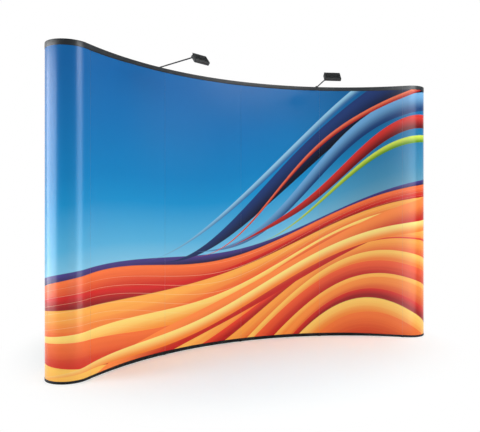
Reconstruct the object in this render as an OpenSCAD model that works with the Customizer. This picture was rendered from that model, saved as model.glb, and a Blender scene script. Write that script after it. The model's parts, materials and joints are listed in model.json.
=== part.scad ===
// Curved pop-up display backwall: a folding frame of hubs and crossed tubes, channel bars
// clipped to it, four hanging graphic panels, two wrap-round end panels and two arm lamps.
// Millimetres. +Z up, X along the wall, +Y to the back. The wall is hollow towards -Y.
// The origin is under the front foot of the middle column.

/* [Wall] */
// Height of the graphics above the floor
wall_h = 2230; // [1500:10:2600]
// Width of one front panel along its face
panel_w = 733; // [600:1:800]
// Radius of the printed face
print_r = 2130; // [1800:10:3000]
// Outside depth of the wall over the end panels
wall_d = 300; // [260:5:360]
// Straight run of an end panel before it curves round
end_run = 43; // [40:1:90]
// Gap between two neighbouring panels
panel_gap = 1.5; // [1.2:0.1:3]
// Gap under the panels
floor_gap = 4; // [2:0.5:10]

/* [Panels] */
// Thickness of the printed laminate
print_t = 0.8; // [0.5:0.1:1.2]
// Height of the trim along the top of a front panel
top_rail_h = 30; // [24:1:50]
// Height of the trim along the foot of a front panel
foot_rail_h = 26; // [15:1:50]
// Height of the trim along the top of an end panel
end_top_rail_h = 40; // [24:1:60]
// Height of the trim along the foot of an end panel
end_foot_rail_h = 18; // [12:1:50]
// Wall of the trim
rail_wall = 1.5; // [1:0.1:2]
// Width of the magnetic tape along a panel's upright edges
tape_w = 12.5; // [8:0.5:15]
// Thickness of the magnetic tape
tape_t = 1.6; // [1.4:0.1:2]

/* [Channel bars] */
// Width of a bar
bar_w = 36; // [30:1:50]
// Depth of a bar
bar_d = 11; // [9:0.5:16]
// Wall of a bar
bar_wall = 1.5; // [1:0.1:2.5]
// Thickness of the steel strip on a bar
strip_t = 1.3; // [0.8:0.1:2]
// Diameter of the pins that the panels hang on
hanger_d = 5; // [3:0.5:6]

/* [Hubs] */
// Diameter of a hub
hub_d = 58; // [54:1:70]
// Thickness of a hub
hub_t = 24; // [20:1:32]
// Distance of a tube's pin from the middle of its hub
pin_offset = 21; // [20:0.5:22]
// Diameter of the pins that the tubes turn on
pin_d = 4; // [3:0.5:5]
// Height of the middle of the lowest hubs
low_hub_z = 45; // [42:1:90]
// Distance from the middle of the top hubs to the top of the wall
top_hub_drop = 50; // [34:1:80]

/* [Tubes] */
// Outside diameter of a scissor tube
tube_d = 12; // [10:0.5:13]
// Wall of a scissor tube
tube_wall = 1.2; // [0.8:0.1:2]
// Thickness of the flat tongue at a tube's end
tongue_t = 8; // [6:0.5:9]
// Diameter of the rivet where two tubes cross
rivet_d = 4; // [3:0.5:5]
// Diameter of the locking posts behind the hubs
post_d = 16; // [14:0.5:20]

/* [Feet] */
// Diameter of a foot pad
foot_d = 40; // [30:1:60]
// Thickness of a foot pad
foot_t = 8; // [5:0.5:12]

/* [Lamps] */
// Distance of a lamp's swivel behind the middle of its front hub
lamp_back = 68; // [60:1:85]
// Height of the lamp arms above the floor
arm_z = 2250; // [2246:1:2700]
// Reach of an arm from its swivel to its lamp's tilt screw
arm_reach = 486; // [300:1:600]
// Diameter of an arm
arm_d = 10; // [8:0.5:14]
// Width of a lamp head
head_w = 140; // [100:1:200]
// Height of a lamp head
head_h = 66; // [50:1:100]
// Thickness of a lamp head
head_t = 28; // [22:1:45]
// Wall of a lamp head
head_wall = 2.5; // [1.5:0.1:4]
// Thickness of the lamp's glass
glass_t = 3; // [2:0.5:5]
// Tilt of a lamp head: how far its glass looks down
head_dip = 38; // [0:1:80]

/* [Hidden] */

// The frame is four quads wide and three high. Node names count on both.
bays = 4;
rows = 3;
// Clearances: a pin or shaft in its bore, a tongue in its slot, and a loose seat
fit = 0.05;
slide_gap = 0.3;
seat = 0.1;
// Facets of the big arcs and of the small round pieces
arc_fn = 720;
round_fn = 48;
pin_fn = 24;
// A cutter runs this much past the face it opens
past = 1;

// Stack behind the printed face: print, tape, air, steel strip, bar, hub
tape_y = print_t + seat;
strip_y = tape_y + tape_t + slide_gap;
bar_y = strip_y + strip_t;
hub_face_y = bar_y + bar_d;
front_hub_r = print_r + hub_face_y + hub_t / 2;
back_hub_r = print_r + wall_d - hub_face_y - hub_t / 2;

// One bay's angle about the centre of the curve
pitch_a = (panel_w + panel_gap) / print_r * 180 / PI;
gap_a = panel_gap / 2 / print_r * 180 / PI;
function column_a(c) = (c - bays / 2) * pitch_a;

// Hub heights
top_hub_z = wall_h - top_hub_drop;
row_h = (top_hub_z - low_hub_z) / rows;
function hub_z(k) = low_hub_z + k * row_h;

// Crossed tubes run side by side, this far each side of the hub's middle
lane = tube_d / 2 + 1;
slot_w = tongue_t + 2 * slide_gap;
slot_in = pin_offset - tube_d / 2 - 3;
pin_len = slot_w + 12;
collar_in = 14;
collar_out = 18;
plug_len = 16;
rivet_head_d = 2 * rivet_d;
rivet_head_t = 1.5;

// Hub boss inside the bar, and the bore that takes a post
boss_w = bar_w - 2 * bar_wall - 2 * slide_gap;
boss_h = 16;
boss_t = bar_d - bar_wall - slide_gap;
spigot_d = 10;
spigot_len = 8;
post_gap = 0.4;
post_mid_r = (front_hub_r + back_hub_r) / 2;
cone_len = 8;

// Hanger pins stand in notches of the top trim
hanger_x = bar_w / 4;
hanger_z = wall_h - top_rail_h / 2;
notch_h = hanger_d + 1;
rail_inset = 4;

// Lamp
clamp_d = post_d + 14;
clamp_len = 24;
stem_d = 16;
knuckle_d = 22;
knuckle_h = 18;
swivel_d = 8;
swivel_len = 24;
screw_d = 5;
ear_t = 4;
eye_t = 8;
eye_d = 14;
eye_neck = eye_d / 2 + 2;
neck = 10;
head_r = 8;
lug_w = 16;
slit_w = 2;
knob_d = 18;
knob_t = 10;
// The lugs drop far enough for the knob to turn under the clamp's round body
lug_drop = knob_d;
clamp_screw_z = -clamp_d / 2 - lug_drop / 2;

trim_grey = [0.25, 0.28, 0.31];
black = [0.08, 0.09, 0.10];
silver = [0.72, 0.73, 0.75];
steel = [0.55, 0.56, 0.58];
sky_blue = [0.16, 0.42, 0.68];
lamp_grey = [0.22, 0.23, 0.23];
glass_tint = [0.80, 0.86, 0.88, 0.5];

// ---- frames of reference ----

// Column c's own frame: X along the wall, Y away from the centre of the curve, Z up
module on_column(c) {
    translate([0, -front_hub_r, 0])
        rotate([0, 0, -column_a(c)])
            children();
}

// A point of column c's frame in plan
function in_plan(c, x, y) = [x * cos(column_a(c)) + y * sin(column_a(c)),
                             y * cos(column_a(c)) - x * sin(column_a(c)) - front_hub_r];

// Frame of the outer column on one side: X points out of the wall's end
module on_end(side) {
    if (side < 0) on_column(0) mirror([1, 0, 0]) children();
    else on_column(bays) children();
}

// Round bar along Y
module rod_y(d, len, fn = round_fn) {
    rotate([-90, 0, 0]) cylinder(d = d, h = len, $fn = fn);
}

// ---- hubs, pins, posts and feet ----

// dir is +1 on the front hubs and -1 on the back hubs: it swaps the lanes
module hub_slots(dir) {
    for (s = [-1, 1]) {
        translate([s > 0 ? slot_in : -hub_d, -hub_t, dir * s * lane - slot_w / 2])
            cube([hub_d - slot_in, 2 * hub_t, slot_w]);
        translate([dir * s * lane - slot_w / 2, -hub_t, s > 0 ? slot_in : -hub_d])
            cube([slot_w, 2 * hub_t, hub_d - slot_in]);
    }
}

// The four pins of a hub: len and d are those of the pin, or of its bore
module pin_across(x, z, dir_s, len, d) {
    translate([x, 0, z + dir_s * lane - len / 2]) cylinder(d = d, h = len, $fn = pin_fn);
}

module pin_along(x, z, dir_s, len, d) {
    translate([x + dir_s * lane - len / 2, 0, z]) rotate([0, 90, 0]) cylinder(d = d, h = len, $fn = pin_fn);
}

module hub(dir, has_bar) {
    difference() {
        union() {
            translate([0, -hub_t / 2, 0]) rod_y(hub_d, hub_t);
            if (has_bar)
                translate([-boss_w / 2, dir > 0 ? -hub_t / 2 - boss_t : hub_t / 2 - 1, -boss_h / 2])
                    cube([boss_w, boss_t + 1, boss_h]);
        }
        hub_slots(dir);
        for (s = [-1, 1]) {
            pin_across(s * pin_offset, 0, dir * s, pin_len + 2 * fit, pin_d + 2 * fit);
            pin_along(0, s * pin_offset, dir * s, pin_len + 2 * fit, pin_d + 2 * fit);
        }
        translate([0, dir > 0 ? hub_t / 2 - spigot_len - fit : -hub_t / 2 - past, 0])
            rod_y(spigot_d + 2 * fit, spigot_len + fit + past);
    }
}

module front_hubs() {
    color(black)
        for (c = [0:bays], k = [0:rows])
            on_column(c) translate([0, front_hub_r, hub_z(k)]) hub(1, true);
}

module back_hubs() {
    color(black)
        for (c = [0:bays], k = [0:rows])
            on_column(c) translate([0, back_hub_r, hub_z(k)]) hub(-1, c == 0 || c == bays);
}

// Pins stand only where a tube or a foot turns on them
module ring_pins(dir, r) {
    for (c = [0:bays], k = [0:rows]) on_column(c) translate([0, r, hub_z(k)]) {
        if (c < bays) pin_across(pin_offset, 0, dir, pin_len, pin_d);
        if (c > 0) pin_across(-pin_offset, 0, -dir, pin_len, pin_d);
        if (k < rows) pin_along(0, pin_offset, dir, pin_len, pin_d);
        pin_along(0, -pin_offset, -dir, pin_len, pin_d);
    }
}

module hub_pins() {
    color(steel) {
        ring_pins(1, front_hub_r);
        ring_pins(-1, back_hub_r);
    }
}

// A foot hangs on the lower pin of a bottom hub
module foot(dir) {
    difference() {
        union() {
            cylinder(d = foot_d, h = foot_t, $fn = round_fn);
            translate([-dir * lane - tongue_t / 2, -tube_d / 2, foot_t - 1])
                cube([tongue_t, tube_d, low_hub_z - pin_offset - foot_t + 1]);
            translate([-dir * lane - tongue_t / 2, 0, low_hub_z - pin_offset])
                rotate([0, 90, 0]) cylinder(d = tube_d, h = tongue_t, $fn = pin_fn);
        }
        pin_along(0, low_hub_z - pin_offset, -dir, pin_len, pin_d + 2 * fit);
    }
}

module feet() {
    color(black)
        for (c = [0:bays]) on_column(c) {
            translate([0, front_hub_r, 0]) foot(1);
            translate([0, back_hub_r, 0]) foot(-1);
        }
}

// The two halves of a locking post meet half-way: a cone seats in a cup
front_post_len = post_mid_r - front_hub_r - hub_t / 2 - post_gap / 2;
back_post_len = back_hub_r - hub_t / 2 - post_mid_r - post_gap / 2;

module front_post() {
    translate([0, front_hub_r + hub_t / 2, 0]) {
        rod_y(post_d, front_post_len);
        translate([0, -spigot_len, 0]) rod_y(spigot_d, spigot_len + 1);
        translate([0, front_post_len - 0.01, 0])
            rotate([-90, 0, 0]) cylinder(d1 = post_d - 5, d2 = post_d - 9, h = cone_len, $fn = round_fn);
    }
}

module back_post() {
    difference() {
        union() {
            translate([0, back_hub_r - hub_t / 2 - back_post_len, 0]) rod_y(post_d, back_post_len);
            translate([0, back_hub_r - hub_t / 2 - 1, 0]) rod_y(spigot_d, spigot_len + 1);
        }
        translate([0, back_hub_r - hub_t / 2 - back_post_len - past, 0])
            rod_y(post_d - 4, cone_len + past + 1);
    }
}

module front_posts() {
    color(silver)
        for (c = [0:bays], k = [0:rows]) on_column(c) translate([0, 0, hub_z(k)]) front_post();
}

module back_posts() {
    color(silver)
        for (c = [0:bays], k = [0:rows]) on_column(c) translate([0, 0, hub_z(k)]) back_post();
}

// ---- scissor tubes ----

// A tube lies along X from its first pin to its second, with the pins along Z
module tube(len, rivet_at) {
    difference() {
        translate([collar_out, 0, 0])
            rotate([0, 90, 0]) cylinder(d = tube_d, h = len - 2 * collar_out, $fn = round_fn);
        translate([collar_out - past, 0, 0])
            rotate([0, 90, 0]) cylinder(d = tube_d - 2 * tube_wall, h = len, $fn = round_fn);
        translate([rivet_at, 0, -tube_d]) cylinder(d = rivet_d + 2 * fit, h = 2 * tube_d, $fn = pin_fn);
    }
}

// The moulded fitting at one end: tongue, collar and the plug inside the tube
module tube_end() {
    difference() {
        union() {
            translate([0, 0, -tongue_t / 2]) cylinder(d = tube_d, h = tongue_t, $fn = pin_fn);
            translate([0, -tube_d / 2, -tongue_t / 2]) cube([collar_in + 1, tube_d, tongue_t]);
            translate([collar_in, 0, 0])
                rotate([0, 90, 0]) cylinder(d = tube_d, h = collar_out - collar_in, $fn = round_fn);
            translate([collar_out - 1, 0, 0]) rotate([0, 90, 0])
                cylinder(d = tube_d - 2 * tube_wall - 2 * fit, h = plug_len + 1, $fn = round_fn);
        }
        translate([0, 0, -tongue_t]) cylinder(d = pin_d + 2 * fit, h = 2 * tongue_t, $fn = pin_fn);
    }
}

module both_ends(len) {
    tube_end();
    translate([len, 0, 0]) rotate([0, 0, 180]) tube_end();
}

// Rivet through a crossing pair, with the collar that keeps the tubes apart
module rivet() {
    reach = lane + tube_d / 2 + fit;
    translate([0, 0, -reach]) cylinder(d = rivet_d, h = 2 * reach, $fn = pin_fn);
    for (z = [-reach - rivet_head_t, reach])
        translate([0, 0, z]) cylinder(d = rivet_head_d, h = rivet_head_t, $fn = pin_fn);
    gap = lane - tube_d / 2 - fit;
    translate([0, 0, -gap]) cylinder(d = rivet_head_d, h = 2 * gap, $fn = pin_fn);
}

// Bay pair: where its pins stand in plan, how long it is, and where it crosses
function bay_from(b, front_first) = in_plan(b, pin_offset, front_first ? front_hub_r : back_hub_r);
function bay_to(b, front_first) = in_plan(b + 1, -pin_offset, front_first ? back_hub_r : front_hub_r);
half_a = pitch_a / 2;
front_half = front_hub_r * sin(half_a) - pin_offset * cos(half_a);
back_half = back_hub_r * sin(half_a) - pin_offset * cos(half_a);
bay_len = norm(bay_to(0, true) - bay_from(0, true));
bay_cross = front_half / (front_half + back_half) * bay_len;

module bay_place(b, k, front_first) {
    from = bay_from(b, front_first);
    run = bay_to(b, front_first) - from;
    translate([from[0], from[1], hub_z(k) + (front_first ? lane : -lane)])
        rotate([0, 0, atan2(run[1], run[0])])
            children();
}

module bay_tubes(b) {
    color(silver)
        for (k = [0:rows]) {
            bay_place(b, k, true) tube(bay_len, bay_cross);
            bay_place(b, k, false) tube(bay_len, bay_len - bay_cross);
        }
}

// Column pair: it stands in the column's own plane
column_rise = row_h - 2 * pin_offset;
column_run = back_hub_r - front_hub_r;
column_len = norm([column_rise, column_run]);
column_lean = atan2(column_rise, column_run);

module column_place(c, k, front_first) {
    lean = front_first ? column_lean : 180 - column_lean;
    on_column(c)
        translate([front_first ? lane : -lane, front_first ? front_hub_r : back_hub_r, hub_z(k) + pin_offset])
            rotate([90 + lean, 0, 0])
                rotate([0, 90, 0])
                    children();
}

module column_tubes(c) {
    color(silver)
        for (k = [0:rows - 1], front_first = [true, false])
            column_place(c, k, front_first) tube(column_len, column_len / 2);
}

module tube_ends() {
    color(black) {
        for (b = [0:bays - 1], k = [0:rows], front_first = [true, false])
            bay_place(b, k, front_first) both_ends(bay_len);
        for (c = [0:bays], k = [0:rows - 1], front_first = [true, false])
            column_place(c, k, front_first) both_ends(column_len);
    }
}

module tube_rivets() {
    color(steel) {
        for (b = [0:bays - 1], k = [0:rows])
            bay_place(b, k, true) translate([bay_cross, 0, -lane]) rivet();
        for (c = [0:bays], k = [0:rows - 1])
            column_place(c, k, true) translate([column_len / 2, 0, -lane]) rivet();
    }
}

// ---- channel bars ----

// Ends of bar section k: it covers one quad, and the outer two reach the panels' ends
function bar_low(k) = k == 0 ? floor_gap + slide_gap : hub_z(k) + 0.5;
function bar_top(k) = k == rows - 1 ? wall_h - rail_wall - 2 : hub_z(k + 1) - 0.5;

// Bar section in plan, its face towards -Y at y = 0
module bar_plan() {
    difference() {
        translate([-bar_w / 2, 0]) square([bar_w, bar_d]);
        translate([-bar_w / 2 + bar_wall, bar_wall]) square([bar_w - 2 * bar_wall, bar_d]);
    }
}

module bar_column() {
    for (k = [0:rows - 1])
        translate([0, 0, bar_low(k)]) linear_extrude(bar_top(k) - bar_low(k)) bar_plan();
    // Hanger pins: one for the panel on each side
    for (s = [-1, 1])
        translate([s * hanger_x, -strip_t - slide_gap - tape_t, hanger_z])
            rod_y(hanger_d, strip_t + slide_gap + tape_t + bar_wall, pin_fn);
}

module strip_column() {
    for (k = [0:rows - 1])
        difference() {
            translate([-bar_w / 2 + 1, 0, bar_low(k)])
                cube([bar_w - 2, strip_t, bar_top(k) - bar_low(k)]);
            for (s = [-1, 1])
                translate([s * hanger_x, -past, hanger_z]) rod_y(hanger_d + 2 * fit, strip_t + 2 * past, pin_fn);
        }
}

module front_bar(c) {
    color(black) on_column(c) translate([0, print_r + bar_y, 0]) bar_column();
}

module rear_bars() {
    color(black)
        for (c = [0, bays])
            on_column(c) translate([0, print_r + wall_d - bar_y, 0]) mirror([0, 1, 0]) bar_column();
}

module bar_strips() {
    color(steel) {
        for (c = [0:bays]) on_column(c) translate([0, print_r + strip_y, 0]) strip_column();
        for (c = [0, bays])
            on_column(c) translate([0, print_r + wall_d - strip_y, 0]) mirror([0, 1, 0]) strip_column();
    }
}

// ---- panels ----

// Ring sector about the centre of the curve, from offset y0 to y1 behind the printed face
module arc_band(y0, y1, a0, a1) {
    reach = 2 * print_r;
    translate([0, -front_hub_r])
        intersection() {
            difference() {
                circle(r = print_r + y1, $fn = arc_fn);
                circle(r = print_r + y0, $fn = arc_fn);
            }
            polygon([[0, 0], [reach * sin(a0), reach * cos(a0)], [reach * sin(a1), reach * cos(a1)]]);
        }
}

function mm_a(mm) = mm / print_r * 180 / PI;

// Trim: a channel round the print's edge, drawn as offsets of the printed face.
// children(0) is its outside in plan and children(1) the groove that the print fills
module rail(z, h, web_up) {
    translate([0, 0, z])
        difference() {
            linear_extrude(h) children(0);
            translate([0, 0, web_up ? -past : rail_wall]) linear_extrude(h - rail_wall + past) children(1);
        }
}

rail_y0 = -seat - rail_wall;
rail_y1 = tape_y + rail_wall;

module front_rail(p, z, h, web_up) {
    a0 = column_a(p - 1) + gap_a;
    a1 = column_a(p) - gap_a;
    rail(z, h, web_up) {
        arc_band(rail_y0, rail_y1, a0 + mm_a(rail_inset), a1 - mm_a(rail_inset));
        arc_band(-seat, tape_y, a0, a1);
    }
}

module panel_print(p) {
    color(sky_blue)
        translate([0, 0, floor_gap + rail_wall])
            linear_extrude(wall_h - floor_gap - 2 * rail_wall)
                arc_band(0, print_t, column_a(p - 1) + gap_a, column_a(p) - gap_a);
}

// Notches behind the top trim pass the hanger pins
module front_notches(p) {
    for (c = [p - 1, p], s = [c == p ? -1 : 1])
        on_column(c) translate([s * hanger_x, print_r + tape_y, hanger_z]) rod_y(notch_h, bar_d, pin_fn);
}

module panel_top_rail(p) {
    color(trim_grey)
        difference() {
            front_rail(p, wall_h - top_rail_h, top_rail_h, true);
            front_notches(p);
        }
}

module panel_foot_rail(p) {
    color(black) front_rail(p, floor_gap, foot_rail_h, false);
}

module panel_tapes(p) {
    low = floor_gap + foot_rail_h + 1;
    high = wall_h - top_rail_h - 1;
    color(black)
        translate([0, 0, low]) linear_extrude(high - low) {
            arc_band(tape_y, tape_y + tape_t, column_a(p - 1) + gap_a, column_a(p - 1) + gap_a + mm_a(tape_w));
            arc_band(tape_y, tape_y + tape_t, column_a(p) - gap_a - mm_a(tape_w), column_a(p) - gap_a);
        }
}

// End panel in plan, from offset y0 to y1 inside its printed face; it starts inset from the column
module end_band(y0, y1, inset) {
    round_r = wall_d / 2;
    for (y = [print_r + y0, print_r + wall_d - y1])
        translate([inset, y]) square([end_run - inset + 0.01, y1 - y0]);
    translate([end_run, print_r + round_r])
        intersection() {
            difference() {
                circle(r = round_r - y0, $fn = arc_fn / 4);
                circle(r = round_r - y1, $fn = arc_fn / 4);
            }
            translate([0, -wall_d]) square([wall_d, 2 * wall_d]);
        }
}

module end_print(side) {
    color(sky_blue)
        on_end(side)
            translate([0, 0, floor_gap + rail_wall])
                linear_extrude(wall_h - floor_gap - 2 * rail_wall)
                    end_band(0, print_t, panel_gap / 2);
}

module end_top_rail(side) {
    color(trim_grey)
        on_end(side)
            difference() {
                rail(wall_h - end_top_rail_h, end_top_rail_h, true) {
                    end_band(rail_y0, rail_y1, panel_gap / 2 + rail_inset);
                    end_band(-seat, tape_y, 0);
                }
                // Open notches, so that the panel slides off its pins sideways
                for (y = [print_r + tape_y, print_r + wall_d - tape_y - bar_d])
                    translate([0, y, hanger_z - notch_h / 2]) cube([hanger_x + notch_h / 2, bar_d, notch_h]);
            }
}

module end_foot_rail(side) {
    color(black)
        on_end(side)
            rail(floor_gap, end_foot_rail_h, false) {
                end_band(rail_y0, rail_y1, panel_gap / 2 + rail_inset);
                end_band(-seat, tape_y, 0);
            }
}

module end_tapes(side) {
    low = floor_gap + end_foot_rail_h + 1;
    high = wall_h - end_top_rail_h - 1;
    color(black)
        on_end(side)
            for (y = [print_r + tape_y, print_r + wall_d - tape_y - tape_t])
                translate([panel_gap / 2, y, low]) cube([tape_w, tape_t, high - low]);
}

// ---- lamps ----

// Frame of a lamp's swivel: X along the wall, Y away from the centre, Z up from the arm's height
module on_lamp(side) {
    on_column(bays / 2 + side) translate([0, front_hub_r + lamp_back, arm_z]) children();
}

stem_len = arm_z - knuckle_h / 2 - slide_gap - top_hub_z;

module lamp_clamp(side) {
    color(black)
        on_lamp(side)
            translate([0, 0, top_hub_z - arm_z])
                difference() {
                    union() {
                        translate([0, -clamp_len / 2, 0]) rod_y(clamp_d, clamp_len);
                        cylinder(d = stem_d, h = stem_len, $fn = round_fn);
                        translate([-lug_w / 2, -clamp_len / 2, -clamp_d / 2 - lug_drop])
                            cube([lug_w, clamp_len, clamp_d / 2 + lug_drop]);
                    }
                    translate([0, -clamp_len, 0]) rod_y(post_d + 2 * fit, 2 * clamp_len);
                    translate([-slit_w / 2, -clamp_len, -clamp_d - lug_drop])
                        cube([slit_w, 2 * clamp_len, clamp_d + lug_drop]);
                    translate([0, 0, stem_len - swivel_len - 1])
                        cylinder(d = swivel_d + 2 * fit, h = swivel_len + 2, $fn = pin_fn);
                    translate([-lug_w, 0, clamp_screw_z])
                        rotate([0, 90, 0]) cylinder(d = screw_d + 2 * fit, h = 2 * lug_w, $fn = pin_fn);
                }
}

module lamp_clamp_screw(side) {
    color(black)
        on_lamp(side)
            translate([0, 0, top_hub_z - arm_z + clamp_screw_z])
                rotate([0, 90, 0]) {
                    translate([0, 0, -lug_w / 2 - 4]) cylinder(d = screw_d, h = lug_w + 6, $fn = pin_fn);
                    translate([0, 0, -lug_w / 2 - 4]) cylinder(d = 2 * screw_d, h = 4 - fit, $fn = 6);
                    translate([0, 0, lug_w / 2 + fit]) cylinder(d = knob_d, h = knob_t, $fn = round_fn);
                }
}

module lamp_arm(side) {
    color(lamp_grey)
        on_lamp(side)
            difference() {
                union() {
                    translate([0, 0, -knuckle_h / 2]) cylinder(d = knuckle_d, h = knuckle_h, $fn = round_fn);
                    translate([0, 0, -knuckle_h / 2 - slide_gap - swivel_len])
                        cylinder(d = swivel_d, h = swivel_len + slide_gap + 1, $fn = pin_fn);
                    translate([0, -arm_reach + eye_neck, 0]) rod_y(arm_d, arm_reach - eye_neck);
                    translate([-eye_t / 2, -arm_reach, 0])
                        rotate([0, 90, 0]) cylinder(d = eye_d, h = eye_t, $fn = round_fn);
                    translate([-eye_t / 2, -arm_reach, -arm_d / 2]) cube([eye_t, eye_neck + 1, arm_d]);
                }
                translate([-eye_t, -arm_reach, 0])
                    rotate([0, 90, 0]) cylinder(d = screw_d + 2 * fit, h = 2 * eye_t, $fn = pin_fn);
            }
}

// Frame of a lamp head: the tilt screw is along X, the head hangs down -Z, its glass looks along +Y
module on_head(side) {
    on_lamp(side) translate([0, -arm_reach, 0]) rotate([-head_dip, 0, 0]) children();
}

// Plate with round corners, standing in XZ, from y = 0 to y = t
module round_plate(w, h, t, r) {
    rotate([90, 0, 0]) translate([0, 0, -t]) linear_extrude(t) {
        square([w - 2 * r, h], center = true);
        square([w, h - 2 * r], center = true);
        for (x = [-1, 1], z = [-1, 1]) translate([x * (w / 2 - r), z * (h / 2 - r)]) circle(r = r, $fn = round_fn);
    }
}

ear_x = eye_t / 2 + slide_gap;
fin_count = 9;
fin_t = 2;
fin_h = 3;
board_t = 2;

module lamp_head(side) {
    color(lamp_grey)
        on_head(side)
            difference() {
                union() {
                    translate([0, -head_t / 2 + fin_h, -neck - head_h / 2])
                        round_plate(head_w, head_h, head_t - fin_h, head_r);
                    // Cooling fins on the back
                    for (i = [0:fin_count - 1])
                        translate([-head_w / 2 + head_r + i * (head_w - 2 * head_r - fin_t) / (fin_count - 1),
                                   -head_t / 2, -neck - head_h + head_r])
                            cube([fin_t, fin_h + 1, head_h - 2 * head_r]);
                    // Two ears for the tilt screw
                    for (s = [-1, 1])
                        translate([s > 0 ? ear_x : -ear_x - ear_t, 0, 0]) {
                            rotate([0, 90, 0]) cylinder(d = eye_d, h = ear_t, $fn = round_fn);
                            translate([0, -eye_d / 2, -neck - 2]) cube([ear_t, eye_d, neck + 2]);
                        }
                }
                // Pocket for the light, open towards the glass
                translate([0, -head_t / 2 + fin_h + head_wall, -neck - head_h / 2])
                    round_plate(head_w - 2 * head_wall, head_h - 2 * head_wall, head_t, head_r - head_wall);
                translate([-head_w, 0, 0])
                    rotate([0, 90, 0]) cylinder(d = screw_d + 2 * fit, h = 2 * head_w, $fn = pin_fn);
            }
}

module lamp_glass(side) {
    color(glass_tint)
        on_head(side)
            translate([0, head_t / 2 - glass_t - 1, -neck - head_h / 2])
                round_plate(head_w - 2 * head_wall - 2 * seat, head_h - 2 * head_wall - 2 * seat, glass_t,
                            head_r - head_wall - seat);
}

module lamp_tilt_screw(side) {
    grip = ear_x + ear_t;
    color(black)
        on_head(side)
            rotate([0, 90, 0]) {
                translate([0, 0, -grip - 3]) cylinder(d = screw_d, h = 2 * grip + 4, $fn = pin_fn);
                translate([0, 0, -grip - 3]) cylinder(d = 2 * screw_d, h = 3 - fit, $fn = 6);
                translate([0, 0, grip + fit]) cylinder(d = knob_d, h = knob_t, $fn = round_fn);
            }
}

// ---- one line per node ----

front_hubs();
back_hubs();
hub_pins();
tube_ends();
tube_rivets();
for (b = [1:bays]) bay_tubes(b - 1);
for (c = [1:bays + 1]) column_tubes(c - 1);
front_posts();
back_posts();
feet();
for (c = [1:bays + 1]) front_bar(c - 1);
rear_bars();
bar_strips();
for (p = [1:bays]) {
    panel_print(p);
    panel_top_rail(p);
    panel_foot_rail(p);
    panel_tapes(p);
}
for (side = [-1, 1]) {
    end = side < 0 ? "left_end_" : "right_end_";
    end_print(side);
    end_top_rail(side);
    end_foot_rail(side);
    end_tapes(side);
    lamp = side < 0 ? "left_lamp_" : "right_lamp_";
    lamp_clamp(side);
    lamp_clamp_screw(side);
    lamp_arm(side);
    lamp_head(side);
    lamp_glass(side);
    lamp_tilt_screw(side);
}
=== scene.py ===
# %% [markdown]
# # A curved pop-up display wall
#
# The real thing is a folding frame of hubs and crossed tubes. Channel bars clip to its front, and
# graphic panels hang on the bars by small pins and magnetic tape. A rounded panel closes each end.
# The construction comes packed as exact solids, and this script dresses it: fine smooth panels and
# trims, a printed face, plastics and metals, lamps with their light boards, and a studio.
# Everything is in metres, +Z is up and the wall is hollow towards -Y.

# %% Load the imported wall
import json
import math

import bmesh
import bpy
from mathutils import Matrix, Vector


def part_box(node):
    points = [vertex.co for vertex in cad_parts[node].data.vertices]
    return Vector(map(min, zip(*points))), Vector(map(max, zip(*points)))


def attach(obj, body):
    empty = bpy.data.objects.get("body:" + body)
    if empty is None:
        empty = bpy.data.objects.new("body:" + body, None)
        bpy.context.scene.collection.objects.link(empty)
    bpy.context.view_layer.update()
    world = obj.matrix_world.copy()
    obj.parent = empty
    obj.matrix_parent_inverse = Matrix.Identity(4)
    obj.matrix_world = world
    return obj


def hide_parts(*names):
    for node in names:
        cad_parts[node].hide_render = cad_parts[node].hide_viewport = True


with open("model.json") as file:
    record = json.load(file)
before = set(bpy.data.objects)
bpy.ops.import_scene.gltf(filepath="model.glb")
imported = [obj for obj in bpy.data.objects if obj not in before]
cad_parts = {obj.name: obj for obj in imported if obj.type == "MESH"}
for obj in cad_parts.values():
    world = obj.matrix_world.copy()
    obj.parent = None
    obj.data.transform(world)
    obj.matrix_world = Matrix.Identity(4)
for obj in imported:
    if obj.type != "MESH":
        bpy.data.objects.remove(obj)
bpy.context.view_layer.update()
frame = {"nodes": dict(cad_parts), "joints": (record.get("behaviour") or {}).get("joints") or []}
joints = {joint["name"]: joint for joint in frame["joints"]}

# %% [markdown]
# ## The camera
#
# A camera could be placed by eye, but a level one is easier to work out: its place, its heading and
# its lens follow from where the wall's edges fall in the picture. It stands left of the middle and a
# little over a metre up, and looks level. A small downward shift frames the floor without a tilt,
# so upright edges stay upright.

# %% Camera
CAMERA_PLACE = (-2.0386, -4.1806, 1.1184)
CAMERA_HEADING = math.radians(26.04)
LENS_MM = 40.47
FRAME_SHIFT = -0.0099

camera_data = bpy.data.cameras.new("wall_camera")
camera_data.lens = LENS_MM
camera_data.shift_y = FRAME_SHIFT
camera = bpy.data.objects.new("wall_camera", camera_data)
camera.location = CAMERA_PLACE
camera.rotation_euler = (math.radians(90), 0, -CAMERA_HEADING)
bpy.context.scene.collection.objects.link(camera)
bpy.context.scene.camera = camera
print("camera at", CAMERA_PLACE, "heading", round(math.degrees(CAMERA_HEADING), 2), "degrees")

# %% [markdown]
# ## Node maths as Python
#
# A pattern is arithmetic, and a long chain of Math nodes is hard to read. One small class wraps a
# socket, so that `1 - mask * 2` writes its own Math nodes. Another adds any other node in one call.
# Materials and Geometry Nodes trees share the same Math nodes, so both use these two classes.


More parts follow.
